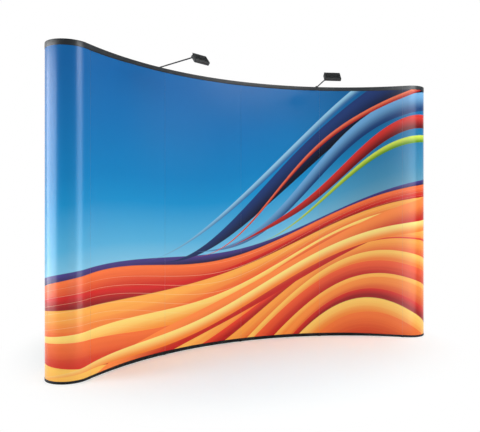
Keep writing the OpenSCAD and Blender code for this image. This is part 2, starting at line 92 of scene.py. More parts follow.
# %% Sockets and graphs
class Wire:
    """One output socket of a node, which + - * / turn into Math nodes."""

    def __init__(self, graph, socket):
        self.graph = graph
        self.socket = socket

    def __add__(self, other):
        return self.graph.maths("ADD", self, other)

    def __radd__(self, other):
        return self.graph.maths("ADD", other, self)

    def __sub__(self, other):
        return self.graph.maths("SUBTRACT", self, other)

    def __rsub__(self, other):
        return self.graph.maths("SUBTRACT", other, self)

    def __mul__(self, other):
        return self.graph.maths("MULTIPLY", self, other)

    def __rmul__(self, other):
        return self.graph.maths("MULTIPLY", other, self)

    def __truediv__(self, other):
        return self.graph.maths("DIVIDE", self, other)

    def __rtruediv__(self, other):
        return self.graph.maths("DIVIDE", other, self)

    def __abs__(self):
        return self.graph.maths("ABSOLUTE", self)

    def sine(self):
        return self.graph.maths("SINE", self)

    def above(self, level):
        return self.graph.maths("GREATER_THAN", self, level)

    def ramp(self, start, end):
        """0 before start and 1 after end, with a soft turn at both."""
        return self.graph.node(
            "ShaderNodeMapRange",
            {"interpolation_type": "SMOOTHSTEP"},
            {"Value": self, "From Min": start, "From Max": end},
        )

    def twin(self, output):
        """Another output of the same node."""
        return Wire(self.graph, self.socket.node.outputs[output])


class Graph:
    """A node tree that is filled one call at a time."""

    def __init__(self, tree):
        self.tree = tree

    def node(self, kind, settings=None, values=None, output=0):
        made = self.tree.nodes.new(kind)
        for name, value in (settings or {}).items():
            if name == "stops":
                set_stops(made.color_ramp, value)
            else:
                setattr(made, name, value)
        for key, value in (values or {}).items():
            self.feed(made.inputs[key], value)
        return Wire(self, made.outputs[output]) if made.outputs else made

    def feed(self, socket, value):
        if isinstance(value, Wire):
            self.tree.links.new(value.socket, socket)
        else:
            socket.default_value = value

    def maths(self, operation, *terms):
        return self.node("ShaderNodeMath", {"operation": operation}, dict(enumerate(terms)))


def set_stops(color_ramp, stops):
    """Gives a colour ramp its (place, colour) stops."""
    while len(color_ramp.elements) < len(stops):
        color_ramp.elements.new(0.5)
    for element, (place, colour) in zip(color_ramp.elements, stops):
        element.position = place
        element.color = colour


def rgb(red, green, blue):
    """A colour as a print shop names it, 0 to 255, in the renderer's linear numbers."""

    def linear(level):
        share = level / 255
        return share / 12.92 if share <= 0.04045 else ((share + 0.055) / 1.055) ** 2.4

    return (linear(red), linear(green), linear(blue), 1.0)


print("node helpers ready")


# %% [markdown]
# ## How every finish is built
#
# A finish is one Principled shader. What varies over the surface goes through nodes to its colour,
# its roughness or its bump, and a number that is the same all over stays on the shader's own socket.
# Noise on Object coordinates keeps its real scale on every piece, because all pieces share a frame.


# %% Finish class
class Finish(Graph):
    """A material with one Principled shader."""

    def __init__(self, name):
        self.material = bpy.data.materials.new(name)
        self.material.use_nodes = True
        super().__init__(self.material.node_tree)
        self.tree.nodes.clear()
        self.place = self.node("ShaderNodeTexCoord", output="Object")

    def mix(self, factor, first, second):
        return self.node(
            "ShaderNodeMix",
            {"data_type": "RGBA", "clamp_factor": True},
            {0: factor, 6: first, 7: second},
            output=2,
        )

    def noise(self, scale, detail=3.0, place=None, roughness=0.5):
        """Cloudy noise from 0 to 1, drawn in metres unless another place is given."""
        at = place or self.place
        return self.node(
            "ShaderNodeTexNoise",
            {},
            {"Vector": at, "Scale": scale, "Detail": detail, "Roughness": roughness},
        )

    def bump(self, height, distance):
        """Surface relief of this depth in metres."""
        return self.node("ShaderNodeBump", {}, {"Height": height, "Distance": distance})

    def across_wall(self):
        """The two numbers that a swept piece carries: place along the wall and height."""
        wall = self.node("ShaderNodeAttribute", {"attribute_name": "wall_uv"}, output="Vector")
        along = self.node("ShaderNodeSeparateXYZ", {}, {0: wall}, output="X")
        return along, along.twin("Y")

    def shade(self, values):
        """Ends the tree: the Principled shader with these sockets, into the output."""
        shader = self.node("ShaderNodeBsdfPrincipled", {}, values)
        output = self.tree.nodes.new("ShaderNodeOutputMaterial")
        self.tree.links.new(shader.socket, output.inputs["Surface"])
        print("finish:", self.material.name, len(self.tree.nodes), "nodes")
        return self.material


print("finishes read Object coordinates, in metres")

# %% [markdown]
# ## The print
#
# The front is one big picture cut into panels, so its pattern has to run on from panel to panel and
# round the ends. Object coordinates would squeeze it where the wall curves away. Instead each panel
# carries the distance along the wall and the height above the floor, both in metres, and the design
# is drawn in those. It is an abstract one: a single rising curve parts a blue field from warm satin
# bands that fan out, a bundle of ribbons peels off it towards the upper right, and two warm ribbons
# cross the bands. A photo texture isn't needed, as every edge is a formula.

# %% Print design
HALF_FRONT = 1.469
WALL_TOP = 2.23
TURN = 2 * math.pi

# The main curve: height at the wall's middle, rise per metre, then swing, wave length and start
CURVE_LEVEL = 0.93
CURVE_RISE = 0.20
CURVE_WAVE = (0.13, 3.3, 0.76)
# The blue field, from the curve (0) to 1.35 m above it (1)
BLUE_REACH = 1.35
BLUES = [
    (0.00, rgb(122, 194, 226)),
    (0.10, rgb(84, 176, 220)),
    (0.32, rgb(20, 144, 204)),
    (0.46, rgb(12, 130, 194)),
    (0.75, rgb(18, 116, 184)),
    (1.00, rgb(20, 106, 176)),
]
# The blue is darkened to the right as painted shade, by this share, between these places along the
# wall
RIGHT_END_SHADE = (0.42, 0.35, 1.35)
# The bands fan out from a narrow place: how much narrower they get, length and start of the fan
FAN = (0.30, 4.1, 0.02)
# Thickness of each band below the curve, its lit colour and the colour in its fold
BANDS = [
    (0.060, rgb(70, 58, 130), rgb(24, 12, 44)),
    (0.130, rgb(250, 118, 60), rgb(206, 36, 28)),
    (0.070, rgb(214, 34, 30), rgb(140, 10, 18)),
    (0.185, rgb(255, 178, 78), rgb(240, 92, 42)),
    (0.095, rgb(255, 222, 120), rgb(250, 150, 56)),
    (0.150, rgb(246, 116, 54), rgb(208, 40, 28)),
    (0.215, rgb(255, 200, 92), rgb(246, 120, 46)),
    (0.080, rgb(230, 62, 36), rgb(172, 18, 20)),
    (0.230, rgb(254, 170, 70), rgb(232, 84, 36)),
    (0.150, rgb(255, 204, 98), rgb(242, 126, 46)),
    (0.240, rgb(240, 92, 44), rgb(190, 26, 22)),
    (0.150, rgb(255, 190, 84), rgb(246, 120, 46)),
    (0.260, rgb(250, 146, 60), rgb(218, 66, 32)),
    (0.110, rgb(214, 42, 30), rgb(150, 12, 18)),
    (0.280, rgb(255, 210, 104), rgb(244, 132, 50)),
    (0.500, rgb(244, 120, 52), rgb(204, 44, 28)),
]
# Each band's edge breathes a little: the first one's swing, and by how much swing, length and start
# step on from band to band
BREATH = (0.012, 0.0035, 2.0, 0.13, 0.27)
# Place where a ribbon starts, where it has risen fully, its height over the curve at the start, its
# rise, its sway (swing, length, start), half its width, the colour in its fold and its lit colour
RIBBONS = [
    (-2.60, 1.90, -0.92, 0.70, (0.040, 3.1, 0.30), 0.105, rgb(196, 30, 26), rgb(255, 140, 66)),
    (-2.10, 1.40, -0.70, 0.34, (0.050, 2.7, 0.05), 0.050, rgb(246, 132, 48), rgb(255, 228, 132)),
    (-0.75, 1.55, 0.0, 0.92, (0.030, 1.9, 0.10), 0.130, rgb(8, 12, 34), rgb(34, 60, 118)),
    (-0.45, 1.75, 0.0, 0.74, (0.045, 1.6, 0.60), 0.085, rgb(20, 60, 114), rgb(112, 170, 216)),
    (-0.95, 1.35, 0.0, 1.06, (0.035, 2.1, 0.35), 0.040, rgb(46, 104, 160), rgb(150, 204, 232)),
    (-0.20, 1.60, 0.0, 0.50, (0.040, 1.4, 0.20), 0.062, rgb(100, 10, 18), rgb(214, 50, 42)),
    (-0.60, 1.45, 0.0, 0.84, (0.050, 1.5, 0.85), 0.024, rgb(170, 26, 26), rgb(244, 120, 84)),
    (0.05, 1.55, 0.0, 0.36, (0.030, 1.7, 0.45), 0.034, rgb(92, 142, 24), rgb(210, 230, 84)),
]
# Fine pale lines that cross the upper bands at a slant: how many to a metre, half their width as a
# share of that, then swing, length and start of their own fan
LINES = (13.0, 0.030, 0.35, 3.3, 0.70)
# Depths under the curve at which the lines come in, are full, start to fade and are gone
LINES_SHOWN = (0.06, 0.16, 0.35, 0.60)
LINES_STRENGTH = 0.45
LINES_COLOUR = rgb(255, 236, 190)
# A printed edge turns from one colour to the next over this depth
EDGE_SOFT = 0.004
# A band turns to its fold colour over its thickness and this much more, up to this share of it
FOLD_PAST = 0.02
FOLD_SHARE = 0.85
# A ribbon swells to its full width between these places, counted from its start
SWELL = (-0.1, 1.5)
# Share of the way from fold to lit colour that a ribbon turns on each side of its middle
RIBBON_TURN = 0.6
# Fine streaks in a band: their place along and across it, how far on the next band reads the
# noise, its scale and how much it tints
STREAKS = (0.5, 18.0, 3.7, 1.5, 0.35)
print("print:", len(BANDS), "bands and", len(RIBBONS), "ribbons")


# %% Bands and ribbons
def swayed(along, swing, length, start):
    """A sine swing along the wall."""
    return ((along * (1 / length) + start) * TURN).sine() * swing


def printed_band(paint, colour, along, under, number, lit, fold, thick):
    """Lays one band over the colours so far. under is the depth below its level edge."""
    swing, more_swing, length, more_length, more_start = BREATH
    inside = under - swayed(
        along, swing + number * more_swing, length + number * more_length, number * more_start
    )
    # The streaks run with the band, because one axis of the noise is the depth inside it
    run, cross, further, scale, tint = STREAKS
    lane = paint.node(
        "ShaderNodeCombineXYZ", {}, {"X": along * run, "Y": inside * cross, "Z": number * further}
    )
    streak = paint.noise(scale, detail=4.0, place=lane, roughness=0.55)
    tone = inside / (thick + FOLD_PAST) * FOLD_SHARE + (streak - 0.5) * tint
    body = paint.mix(tone.ramp(0.0, 1.0), lit, fold)
    return paint.mix(inside.ramp(0.0, EDGE_SOFT), colour, body)


def printed_ribbon(paint, colour, along, above, ribbon):
    """Lays one ribbon over the colours so far. above is the height over the main curve."""
    start, risen, base, rise, sway, half, fold, lit = ribbon
    climb = base + along.ramp(start, risen) * rise
    across = above - climb - swayed(along, *sway)
    swell = along.ramp(start + SWELL[0], start + SWELL[1])
    edge = swell * half - abs(across)
    body = paint.mix((across / half * RIBBON_TURN + 0.5).ramp(0.0, 1.0), fold, lit)
    return paint.mix(edge.ramp(0.0, EDGE_SOFT), colour, body)


def printed_lines(paint, colour, along, under):
    """Lays the fine pale lines over the colours so far. under is the depth below the main curve."""
    per_metre, half, swing, length, start = LINES
    fan = 1 + swayed(along, swing, length, start)
    strings = abs((under * fan * per_metre * math.pi).sine())
    in_from, in_full, out_from, out_gone = LINES_SHOWN
    depth = under.ramp(in_from, in_full) * (1 - under.ramp(out_from, out_gone))
    shown = (1 - strings.ramp(half, half * 2.5)) * depth
    return paint.mix(shown * LINES_STRENGTH, colour, LINES_COLOUR)


print("bands and ribbons turn from colour to colour over", EDGE_SOFT * 1000, "mm")


# %% The printed face
def printed_face():
    paint = Finish("printed_face")
    along, height = paint.across_wall()
    above = height - CURVE_LEVEL - along * CURVE_RISE - swayed(along, *CURVE_WAVE)
    colour = paint.node("ShaderNodeValToRGB", {"stops": BLUES}, {0: above / BLUE_REACH})
    # Painted shade: the blue darkens towards the right end of the wall
    share, start, end = RIGHT_END_SHADE
    colour = paint.mix(along.ramp(start, end) * share, colour, rgb(4, 30, 66))
    under = (0 - above) / (1 - FAN[0] - swayed(along, *FAN))
    level = 0.0
    for number, (thick, lit, fold) in enumerate(BANDS):
        colour = printed_band(paint, colour, along, under - level, number, lit, fold, thick)
        level += thick
    colour = printed_lines(paint, colour, along, under)
    for ribbon in RIBBONS:
        colour = printed_ribbon(paint, colour, along, above, ribbon)
    film = paint.noise(900.0, detail=2.0)
    handling = paint.noise(2.2, detail=2.0)
    return paint.shade(
        {
            "Base Color": colour,
            "Roughness": 0.24 + handling * 0.03,
            "Specular IOR Level": 0.3,
            "Normal": paint.bump(film, 0.00004),
        }
    )


PRINTED_FACE = printed_face()

# %% [markdown]
# ## Films, trims and tapes
#
# The back of the print is a grey light-stopping film. The trims are extruded plastic: fine lines run
# along them, the top one is dark grey and the foot one is near black and dull, and both are darker
# along their upper and lower edges as painted shade.
# Both are a little worn in cloudy patches. The tape is a dull dark ferrite strip with a fine grain.


# %% Film, trims and tape
def blockout_film():
    paint = Finish("blockout_film")
    grain = paint.noise(320.0, detail=3.0)
    cloud = paint.noise(1.6, detail=3.0)
    tone = (grain - 0.5) * 0.35 + cloud * 0.8
    colour = paint.mix(tone.ramp(0.0, 1.0), rgb(158, 160, 162), rgb(182, 184, 185))
    return paint.shade(
        {"Base Color": colour, "Roughness": 0.52 + grain * 0.12, "Normal": paint.bump(grain, 0.00006)}
    )


def extruded_trim(name, face, edge_shade, edges, edge_shade_height, gloss, roughness):
    """Trim plastic, darker along its upper and lower edges as painted shade.

    edges holds three heights: the lower edge along the front, the lower edge round the ends and
    the upper edge.
    """
    paint = Finish(name)
    along, height = paint.across_wall()
    end = abs(along).above(HALF_FRONT)
    low, end_low, high = edges
    lower = height - low - end * (end_low - low)
    upper = high - height
    # Painted shade: the colour turns darker over this height at the trim's upper and lower edges
    edge_shade_from = edge_shade_height * 0.8
    clear_of_edge_shade = lower.ramp(edge_shade_from, edge_shade_height) * upper.ramp(edge_shade_from, edge_shade_height)
    drawn = paint.node("ShaderNodeCombineXYZ", {}, {"X": along * 1.5, "Y": height * 2200.0})
    lines = paint.noise(1.0, detail=2.0, place=drawn)
    wear = paint.noise(26.0, detail=4.0, roughness=0.65)
    worn = paint.mix((wear + lines * 0.3).ramp(0.6, 1.2), face, rgb(66, 73, 77))
    colour = paint.mix(clear_of_edge_shade, edge_shade, worn)
    return paint.shade(
        {
            "Base Color": colour,
            "Roughness": roughness + wear * 0.04 + lines * 0.025,
            "Specular IOR Level": gloss,
            "Normal": paint.bump(lines, 0.00003),
        }
    )


def ferrite_tape():
    paint = Finish("ferrite_tape")
    grain = paint.noise(1400.0, detail=2.0)
    colour = paint.mix(grain, rgb(38, 34, 32), rgb(56, 50, 47))
    return paint.shade(
        {"Base Color": colour, "Roughness": 0.62 + grain * 0.15, "Normal": paint.bump(grain, 0.00008)}
    )


BLOCKOUT_FILM = blockout_film()
# Each trim's second colour is the painted shade along its upper and lower edges
TOP_TRIM = extruded_trim(
    "top_trim", rgb(36, 41, 45), rgb(14, 16, 18), (2.200, 2.190, 2.230), 0.0045, 0.45, 0.31
)
FOOT_TRIM = extruded_trim(
    "foot_trim", rgb(10, 15, 19), rgb(7, 10, 12), (0.004, 0.004, 0.030), 0.003, 0.16, 0.48
)
FERRITE_TAPE = ferrite_tape()

# %% [markdown]
# ## Plastics and metals of the frame
#
# Moulded nylon has a fine spark-eroded grain and turns greyer where hands rub it. Drawn aluminium
# tube is satin and a little dulled, and zinc-plated steel shows cloudy patches. One function with a
# few numbers makes each family, so the grain stays alike from piece to piece.


# %% Plastics, paints and metals
def moulded(
    name, colour, worn_colour, roughness=0.48, grain_scale=1600.0, grain_depth=0.00007, gloss=0.5
):
    """Plastic, rubber or paint: fine grain, and a little wear in cloudy patches."""
    paint = Finish(name)
    grain = paint.noise(grain_scale, detail=2.0)
    wear = paint.noise(42.0, detail=5.0, roughness=0.6)
    tone = (wear + (grain - 0.5) * 0.3).ramp(0.45, 0.95)
    return paint.shade(
        {
            "Base Color": paint.mix(tone, colour, worn_colour),
            "Roughness": roughness + (wear - 0.5) * 0.14 + (grain - 0.5) * 0.08,
            "Specular IOR Level": gloss,
            "Normal": paint.bump(grain, grain_depth),
        }
    )


def bare_metal(name, colour, dull_colour, roughness, patch_scale=60.0):
    """Metal with a very fine grain and cloudy patches."""
    paint = Finish(name)
    patches = paint.noise(patch_scale, detail=4.0, roughness=0.6)
    fine = paint.noise(1900.0, detail=2.0)
    return paint.shade(
        {
            "Base Color": paint.mix(patches.ramp(0.3, 0.8), colour, dull_colour),
            "Metallic": 1.0,
            "Roughness": roughness + (patches - 0.5) * 0.16 + (fine - 0.5) * 0.08,
            "Normal": paint.bump(fine, 0.00002),
        }
    )


HUB_NYLON = moulded("hub_nylon", rgb(34, 36, 39), rgb(66, 68, 71))
TUBE_ALLOY = bare_metal("drawn_tube", rgb(206, 208, 212), rgb(180, 183, 188), 0.34)
POST_ALLOY = bare_metal("turned_post", rgb(192, 194, 198), rgb(166, 169, 174), 0.30)
PIN_STEEL = bare_metal("plated_pin", rgb(186, 188, 190), rgb(146, 148, 150), 0.26, 140.0)
BAR_COAT = moulded("bar_coat", rgb(42, 44, 47), rgb(70, 72, 75), 0.44, 900.0, 0.00009)
STRIP_STEEL = bare_metal("zinc_strip", rgb(158, 160, 164), rgb(126, 128, 132), 0.38, 34.0)
FOOT_RUBBER = moulded("pad_rubber", rgb(32, 32, 32), rgb(74, 72, 70), 0.74, 700.0, 0.00015)
LAMP_PAINT = moulded("charcoal_paint", rgb(40, 43, 44), rgb(56, 59, 60), 0.48, 1100.0, 0.00008, 0.35)
ARM_PAINT = moulded("arm_paint", rgb(16, 17, 18), rgb(34, 36, 37), 0.50, 1100.0, 0.00006, 0.25)
KNUCKLE_NYLON = moulded("knuckle_nylon", rgb(18, 19, 21), rgb(38, 40, 42), 0.46, gloss=0.3)


# %% Lamp glass and light board
def lamp_glass():
    paint = Finish("toughened_glass")
    dust = paint.noise(70.0, detail=4.0)
    return paint.shade(
        {
            "Base Color": paint.mix(dust, rgb(236, 244, 244), rgb(222, 234, 234)),
            "Roughness": 0.03 + dust.ramp(0.5, 0.9) * 0.10,
            "Transmission Weight": 1.0,
            "IOR": 1.5,
        }
    )


def phosphor():
    paint = Finish("led_phosphor")
    speck = paint.noise(2400.0, detail=2.0)
    colour = paint.mix(speck, rgb(240, 206, 96), rgb(250, 226, 140))
    return paint.shade({"Base Color": colour, "Roughness": 0.35 + speck * 0.1})


LAMP_GLASS = lamp_glass()
PHOSPHOR = phosphor()
BOARD_LACQUER = moulded("board_lacquer", rgb(226, 228, 226), rgb(206, 208, 206), 0.34, 600.0, 0.00003)

# %% [markdown]
# ## The wall in plan
#
# Seen from above the printed face is one unbroken line: an arc for the four front panels, and at
# each end a short straight run, a half circle and a straight run at the back. A point on it needs
# one number, its distance along the face from the wall's middle. Panels, trims and the print all
# use that number, so their joints fall where the real ones do.

# %% Plan of the printed face
FACE_RADIUS = 2.130
PANEL_WIDTH = 0.733
PANEL_GAP = 0.0015
# The printed film is trimmed after it is laminated and laps each edge, so the joint is a hairline
FILM_LAP = 0.00045
# Depth of a rounded end from front to back, and its straight run on both sides
END_DEPTH = 0.300
END_RUN = 0.043
# On the middle column the printed face lies this far in front of the origin
HUB_LINE = 0.0271
PRINT_THICK = 0.0008
# Past this depth behind the printed face a panel shows its back film
BACK_FILM_FROM = PRINT_THICK * 0.4

PITCH = (PANEL_WIDTH + PANEL_GAP) / FACE_RADIUS
CENTRE_Y = -(FACE_RADIUS + HUB_LINE)
CAP_RADIUS = END_DEPTH / 2
CAP_ARC = math.pi * CAP_RADIUS
END_LENGTH = 2 * END_RUN + CAP_ARC
FRONT_REACH = 2 * PITCH * FACE_RADIUS


def in_column(angle, out, back):
    """Plan point of a column's own frame: out along the wall, back from the curve's centre."""
    return Vector(
        (
            out * math.cos(angle) + back * math.sin(angle),
            CENTRE_Y + back * math.cos(angle) - out * math.sin(angle),
            0,
        )
    )


def on_face(along):
    """Plan point of the printed face, so many metres right of the wall's middle."""
    reach = abs(along)
    side = math.copysign(1, along)
    past = reach - FRONT_REACH
    if past <= 0:
        point = in_column(reach / FACE_RADIUS, 0, FACE_RADIUS)
    elif past <= END_RUN:
        point = in_column(2 * PITCH, past, FACE_RADIUS)
    elif past <= END_RUN + CAP_ARC:
        turn = (past - END_RUN) / CAP_RADIUS
        point = in_column(
            2 * PITCH,
            END_RUN + CAP_RADIUS * math.sin(turn),
            FACE_RADIUS + CAP_RADIUS * (1 - math.cos(turn)),
        )
    else:
        point = in_column(2 * PITCH, END_LENGTH - past, FACE_RADIUS + END_DEPTH)
    return Vector((side * point.x, point.y, 0))


print("printed face: front reach", round(FRONT_REACH, 4), "m each way, end", round(END_LENGTH, 4), "m")


# %% Where each panel starts and ends
FRONT_STEP = 0.012
CAP_STEPS = 60


def stops_between(start, end, step):
    """Evenly spaced places along the face."""
    count = max(1, math.ceil((end - start) / step))
    return [start + (end - start) * i / count for i in range(count + 1)]


def panel_stations(number):
    """Places along front panel 1 to 4, from its left edge to its right."""
    left = (number - 3) * PITCH * FACE_RADIUS + PANEL_GAP / 2 - FILM_LAP
    return stops_between(left, left + PANEL_WIDTH + 2 * FILM_LAP, FRONT_STEP)


def end_stations(side):
    """Places along an end panel, left to right: straight runs need no steps between."""
    near = FRONT_REACH + PANEL_GAP / 2 - FILM_LAP
    bend = FRONT_REACH + END_RUN
    turned = stops_between(bend, bend + CAP_ARC, CAP_ARC / CAP_STEPS)
    far = FRONT_REACH + END_LENGTH - PANEL_GAP / 2
    places = [near, *turned, far]
    return places if side > 0 else [-place for place in reversed(places)]


FRONT_PANELS = {f"panel_{n}": panel_stations(n) for n in (1, 2, 3, 4)}
END_PANELS = {"left_end": end_stations(-1), "right_end": end_stations(1)}
ALL_PANELS = FRONT_PANELS | END_PANELS
PANEL_BODY = {name: name for name in FRONT_PANELS} | {
    "left_end": "left_end_panel",
    "right_end": "right_end_panel",
}
print("panels:", {name: len(places) for name, places in ALL_PANELS.items()})

# %% [markdown]
# ## A sweep that knows where it is
#
# A panel is a tall thin section pulled along the plan, and so is every trim. Geometry Nodes' Curve
# to Mesh does exactly that. Before the sweep the tree writes two numbers on the points: the distance
# along the wall on the path, and the depth behind the printed face on the section. After it, they
# become the map that the print is drawn in, and tell the front film from the back one.


# %% The sweep tree
def tree_input(tree, name, kind):
    return tree.interface.new_socket(name, in_out="INPUT", socket_type=kind).identifier


def sweep_tree():
    """Path in, finished wall piece out. Returns the tree and its inputs' identifiers."""
    tree = bpy.data.node_groups.new("wall_sweep", "GeometryNodeTree")
    tree.interface.new_socket("Piece", in_out="OUTPUT", socket_type="NodeSocketGeometry")
    ids = {
        name: tree_input(tree, name, kind)
        for name, kind in (
            ("Path", "NodeSocketGeometry"),
            ("Section", "NodeSocketObject"),
            ("Notches", "NodeSocketObject"),
            ("Start", "NodeSocketFloat"),
            ("Front finish", "NodeSocketMaterial"),
            ("Back finish", "NodeSocketMaterial"),
            ("Back from", "NodeSocketFloat"),
        )
    }
    graph = Graph(tree)
    given = graph.node("NodeGroupInput", output="Path")
    length = graph.node("GeometryNodeSplineParameter", output="Length")
    path = graph.node("GeometryNodeSetCurveNormal", {"mode": "Z_UP"}, {"Curve": given})
    path = graph.node(
        "GeometryNodeStoreNamedAttribute",
        {"data_type": "FLOAT", "domain": "POINT"},
        {"Geometry": path, "Name": "along", "Value": length + given.twin("Start")},
    )
    section = graph.node("GeometryNodeObjectInfo", {}, {0: given.twin("Section")}, output="Geometry")
    place = graph.node("GeometryNodeInputPosition")
    x = graph.node("ShaderNodeSeparateXYZ", {}, {0: place}, output="X")
    section = graph.node(
        "GeometryNodeStoreNamedAttribute",
        {"data_type": "FLOAT", "domain": "POINT"},
        {"Geometry": section, "Name": "depth", "Value": 0 - x},
    )
    swept = graph.node(
        "GeometryNodeCurveToMesh",
        {},
        {"Curve": path, "Profile Curve": section, "Fill Caps": True},
    )
    notches = graph.node("GeometryNodeObjectInfo", {}, {0: given.twin("Notches")}, output="Geometry")
    cut = graph.node(
        "GeometryNodeMeshBoolean", {"operation": "DIFFERENCE"}, {0: swept, 1: notches}, output="Mesh"
    )
    along = graph.node("GeometryNodeInputNamedAttribute", {"data_type": "FLOAT"}, {0: "along"})
    depth = graph.node("GeometryNodeInputNamedAttribute", {"data_type": "FLOAT"}, {0: "depth"})
    flat = graph.node("ShaderNodeCombineXYZ", {}, {"X": along, "Y": x.twin("Z")})
    mapped = graph.node(
        "GeometryNodeStoreNamedAttribute",
        {"data_type": "FLOAT2", "domain": "CORNER"},
        {"Geometry": cut, "Name": "wall_uv", "Value": flat},
    )
    whole = graph.node("GeometryNodeRealizeInstances", {}, {0: mapped})
    front = graph.node(
        "GeometryNodeSetMaterial", {}, {"Geometry": whole, "Material": given.twin("Front finish")}
    )
    both = graph.node(
        "GeometryNodeSetMaterial",
        {},
        {
            "Geometry": front,
            "Selection": depth.above(given.twin("Back from")),
            "Material": given.twin("Back finish"),
        },
    )
    graph.node("NodeGroupOutput", {}, {"Piece": both})
    return tree, ids


WALL_SWEEP, SWEEP_IDS = sweep_tree()
print("sweep tree:", len(WALL_SWEEP.nodes), "nodes")


# %% Curves, settled meshes and checks
SMOOTH_BELOW = math.radians(32)


def link(name, data):
    made = bpy.data.objects.new(name, data)
    bpy.context.scene.collection.objects.link(made)
    return made


def polyline(name, points, closed=False):
    curve = bpy.data.curves.new(name, "CURVE")
    curve.dimensions = "3D"
    spline = curve.splines.new("POLY")
    spline.points.add(len(points) - 1)
    for knot, point in zip(spline.points, points):
        knot.co = (*point, 1)
    spline.use_cyclic_u = closed
    return link(name, curve)


def drop(*objects):
    for thing in objects:
        bpy.data.objects.remove(thing)


def settled(source, name):
    """The evaluated object as a plain mesh object, smooth but for its real edges."""
    graph = bpy.context.evaluated_depsgraph_get()
    mesh = bpy.data.meshes.new_from_object(
        source.evaluated_get(graph), preserve_all_data_layers=True, depsgraph=graph
    )
    mesh.name = name
    drop(source)
    return checked(link(name, mesh))


def checked(piece):
    """Turns the faces outwards, sets smooth shading and prints what was made."""
    body = bmesh.new()
    body.from_mesh(piece.data)
    if body.calc_volume(signed=True) < 0:
        bmesh.ops.reverse_faces(body, faces=body.faces)
        body.to_mesh(piece.data)
    open_edges = sum(1 for edge in body.edges if len(edge.link_faces) != 2)
    volume = body.calc_volume() * 1e6
    body.free()
    piece.data.shade_smooth()
    piece.data.set_sharp_from_angle(angle=SMOOTH_BELOW)
    print(f"{piece.name}: {len(piece.data.polygons)} faces, {volume:.0f} cm3, {open_edges} open edges")
    return piece


def seat(piece, body, slot, *nodes):
    """Puts a finished piece on its body and hides the solids it stands for."""
    if nodes:
        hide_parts(*nodes)
    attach(piece, body)


# %% Rounded sections
def rounded(corners, steps=4):
    """Closed outline from (x, y, radius) corners, with arcs in place of the corners."""
    outline = []
    for index, (x, y, radius) in enumerate(corners):
        here = Vector((x, y))
        before = (Vector(corners[index - 1][:2]) - here).normalized()
        after = (Vector(corners[(index + 1) % len(corners)][:2]) - here).normalized()
        half = math.acos(max(-1.0, min(1.0, before.dot(after)))) / 2
        if radius == 0:
            outline.append(here)
            continue
        centre = here + (before + after).normalized() * (radius / math.sin(half))
        first = here + before * (radius / math.tan(half)) - centre
        last = here + after * (radius / math.tan(half)) - centre
        sweep = math.atan2(first.x * last.y - first.y * last.x, first.dot(last))
        for step in range(steps + 1):
            outline.append(centre + Matrix.Rotation(sweep * step / steps, 2) @ first)
    return outline


def section_curve(name, outline):
    """A section for the sweep: (depth behind the printed face, height) points."""
    return polyline(name, [(-depth, -height, 0) for depth, height in outline], closed=True)


round_square = rounded([(0, 0, 1), (4, 0, 1), (4, 4, 1), (0, 4, 1)])
print("a square with round corners takes", len(round_square), "points")


# %% Sweeping a section
def swept(name, stations, outline, front, back, back_from, notches=None):
    """Sweeps an outline along the printed face between these places."""
    path = polyline(name + "_path", [on_face(place) for place in stations])
    section = section_curve(name + "_section", outline)
    sweep = path.modifiers.new("wall_sweep", "NODES")
    sweep.node_group = WALL_SWEEP
    for key, value in (
        ("Section", section),
        ("Notches", notches),
        ("Start", stations[0]),
        ("Front finish", front),
        ("Back finish", back),
        ("Back from", back_from),
    ):
        sweep[SWEEP_IDS[key]] = value
    piece = settled(path, name)
    drop(*[thing for thing in (section, notches) if thing])
    return piece


print("sweep inputs:", ", ".join(SWEEP_IDS))

# %% [markdown]
# ## The printed panels
#
# Each panel is a laminate under a millimetre thick, as wide as its bay and bent to the wall's curve.
# Its own sweep has a step every 12 mm, so the gloss runs smoothly over it. A coarser one would show
# as upright facets in the reflections.


# %% Panels
def print_outline(node):
    low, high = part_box(node)
    return [
        (0, low.z),
        (0, high.z),
        (PRINT_THICK, high.z),
        (PRINT_THICK, low.z),
    ]


for name, stations in ALL_PANELS.items():
    node = name + "_print"
    piece = swept(
        name + "_graphic", stations, print_outline(node), PRINTED_FACE, BLOCKOUT_FILM, BACK_FILM_FROM
    )
    seat(piece, PANEL_BODY[name], "print_gloss", node)

# %% [markdown]
# ## The trims
#
# A channel closes each panel's top and foot. Its real section has a slightly crowned face, rounded
# shoulders and small radii at its lips, which is what catches the light, so the section is drawn
# with arcs and swept as the panels are. The pins that a panel hangs on stand in notches of the top
# trim, which are cut inside the same tree. The trims are not equally tall round the wall, so each is
# swept at one height and its lower or upper lip is then moved, easing from one height to the next.


# %% Trim sections and notches
# Depths behind the printed face: the trim's front and back, and the groove that the print sits in
TRIM_FRONT = -0.0016
TRIM_BACK = 0.0024
GROOVE_FRONT = -0.0001
GROOVE_BACK = 0.0009
TRIM_WALL = 0.0015
TRIM_CROWN = 0.0005
TRIM_INSET = 0.0002
LIP_RADIUS = 0.0003
SHOULDER_RADIUS = 0.0011
# A hanger pin stands this far beside its column's middle, in a notch this wide and high
HANGER_X = 0.009
NOTCH = 0.006
# The cutters start inside the groove, so that no cut lies on its wall
NOTCH_FRONT = 0.0006
NOTCH_DEPTH = 0.0110
# The hanger pins stand this far under the wall's top
HANGER_DROP = 0.015
# Heights of the crown's points, from the lips to the web
CROWN_SHARES = (0.85, 0.7, 0.5, 0.3, 0.15)
# Deeper than any trim, so that the back finish shows nowhere on it
PAST_TRIM = 1.0


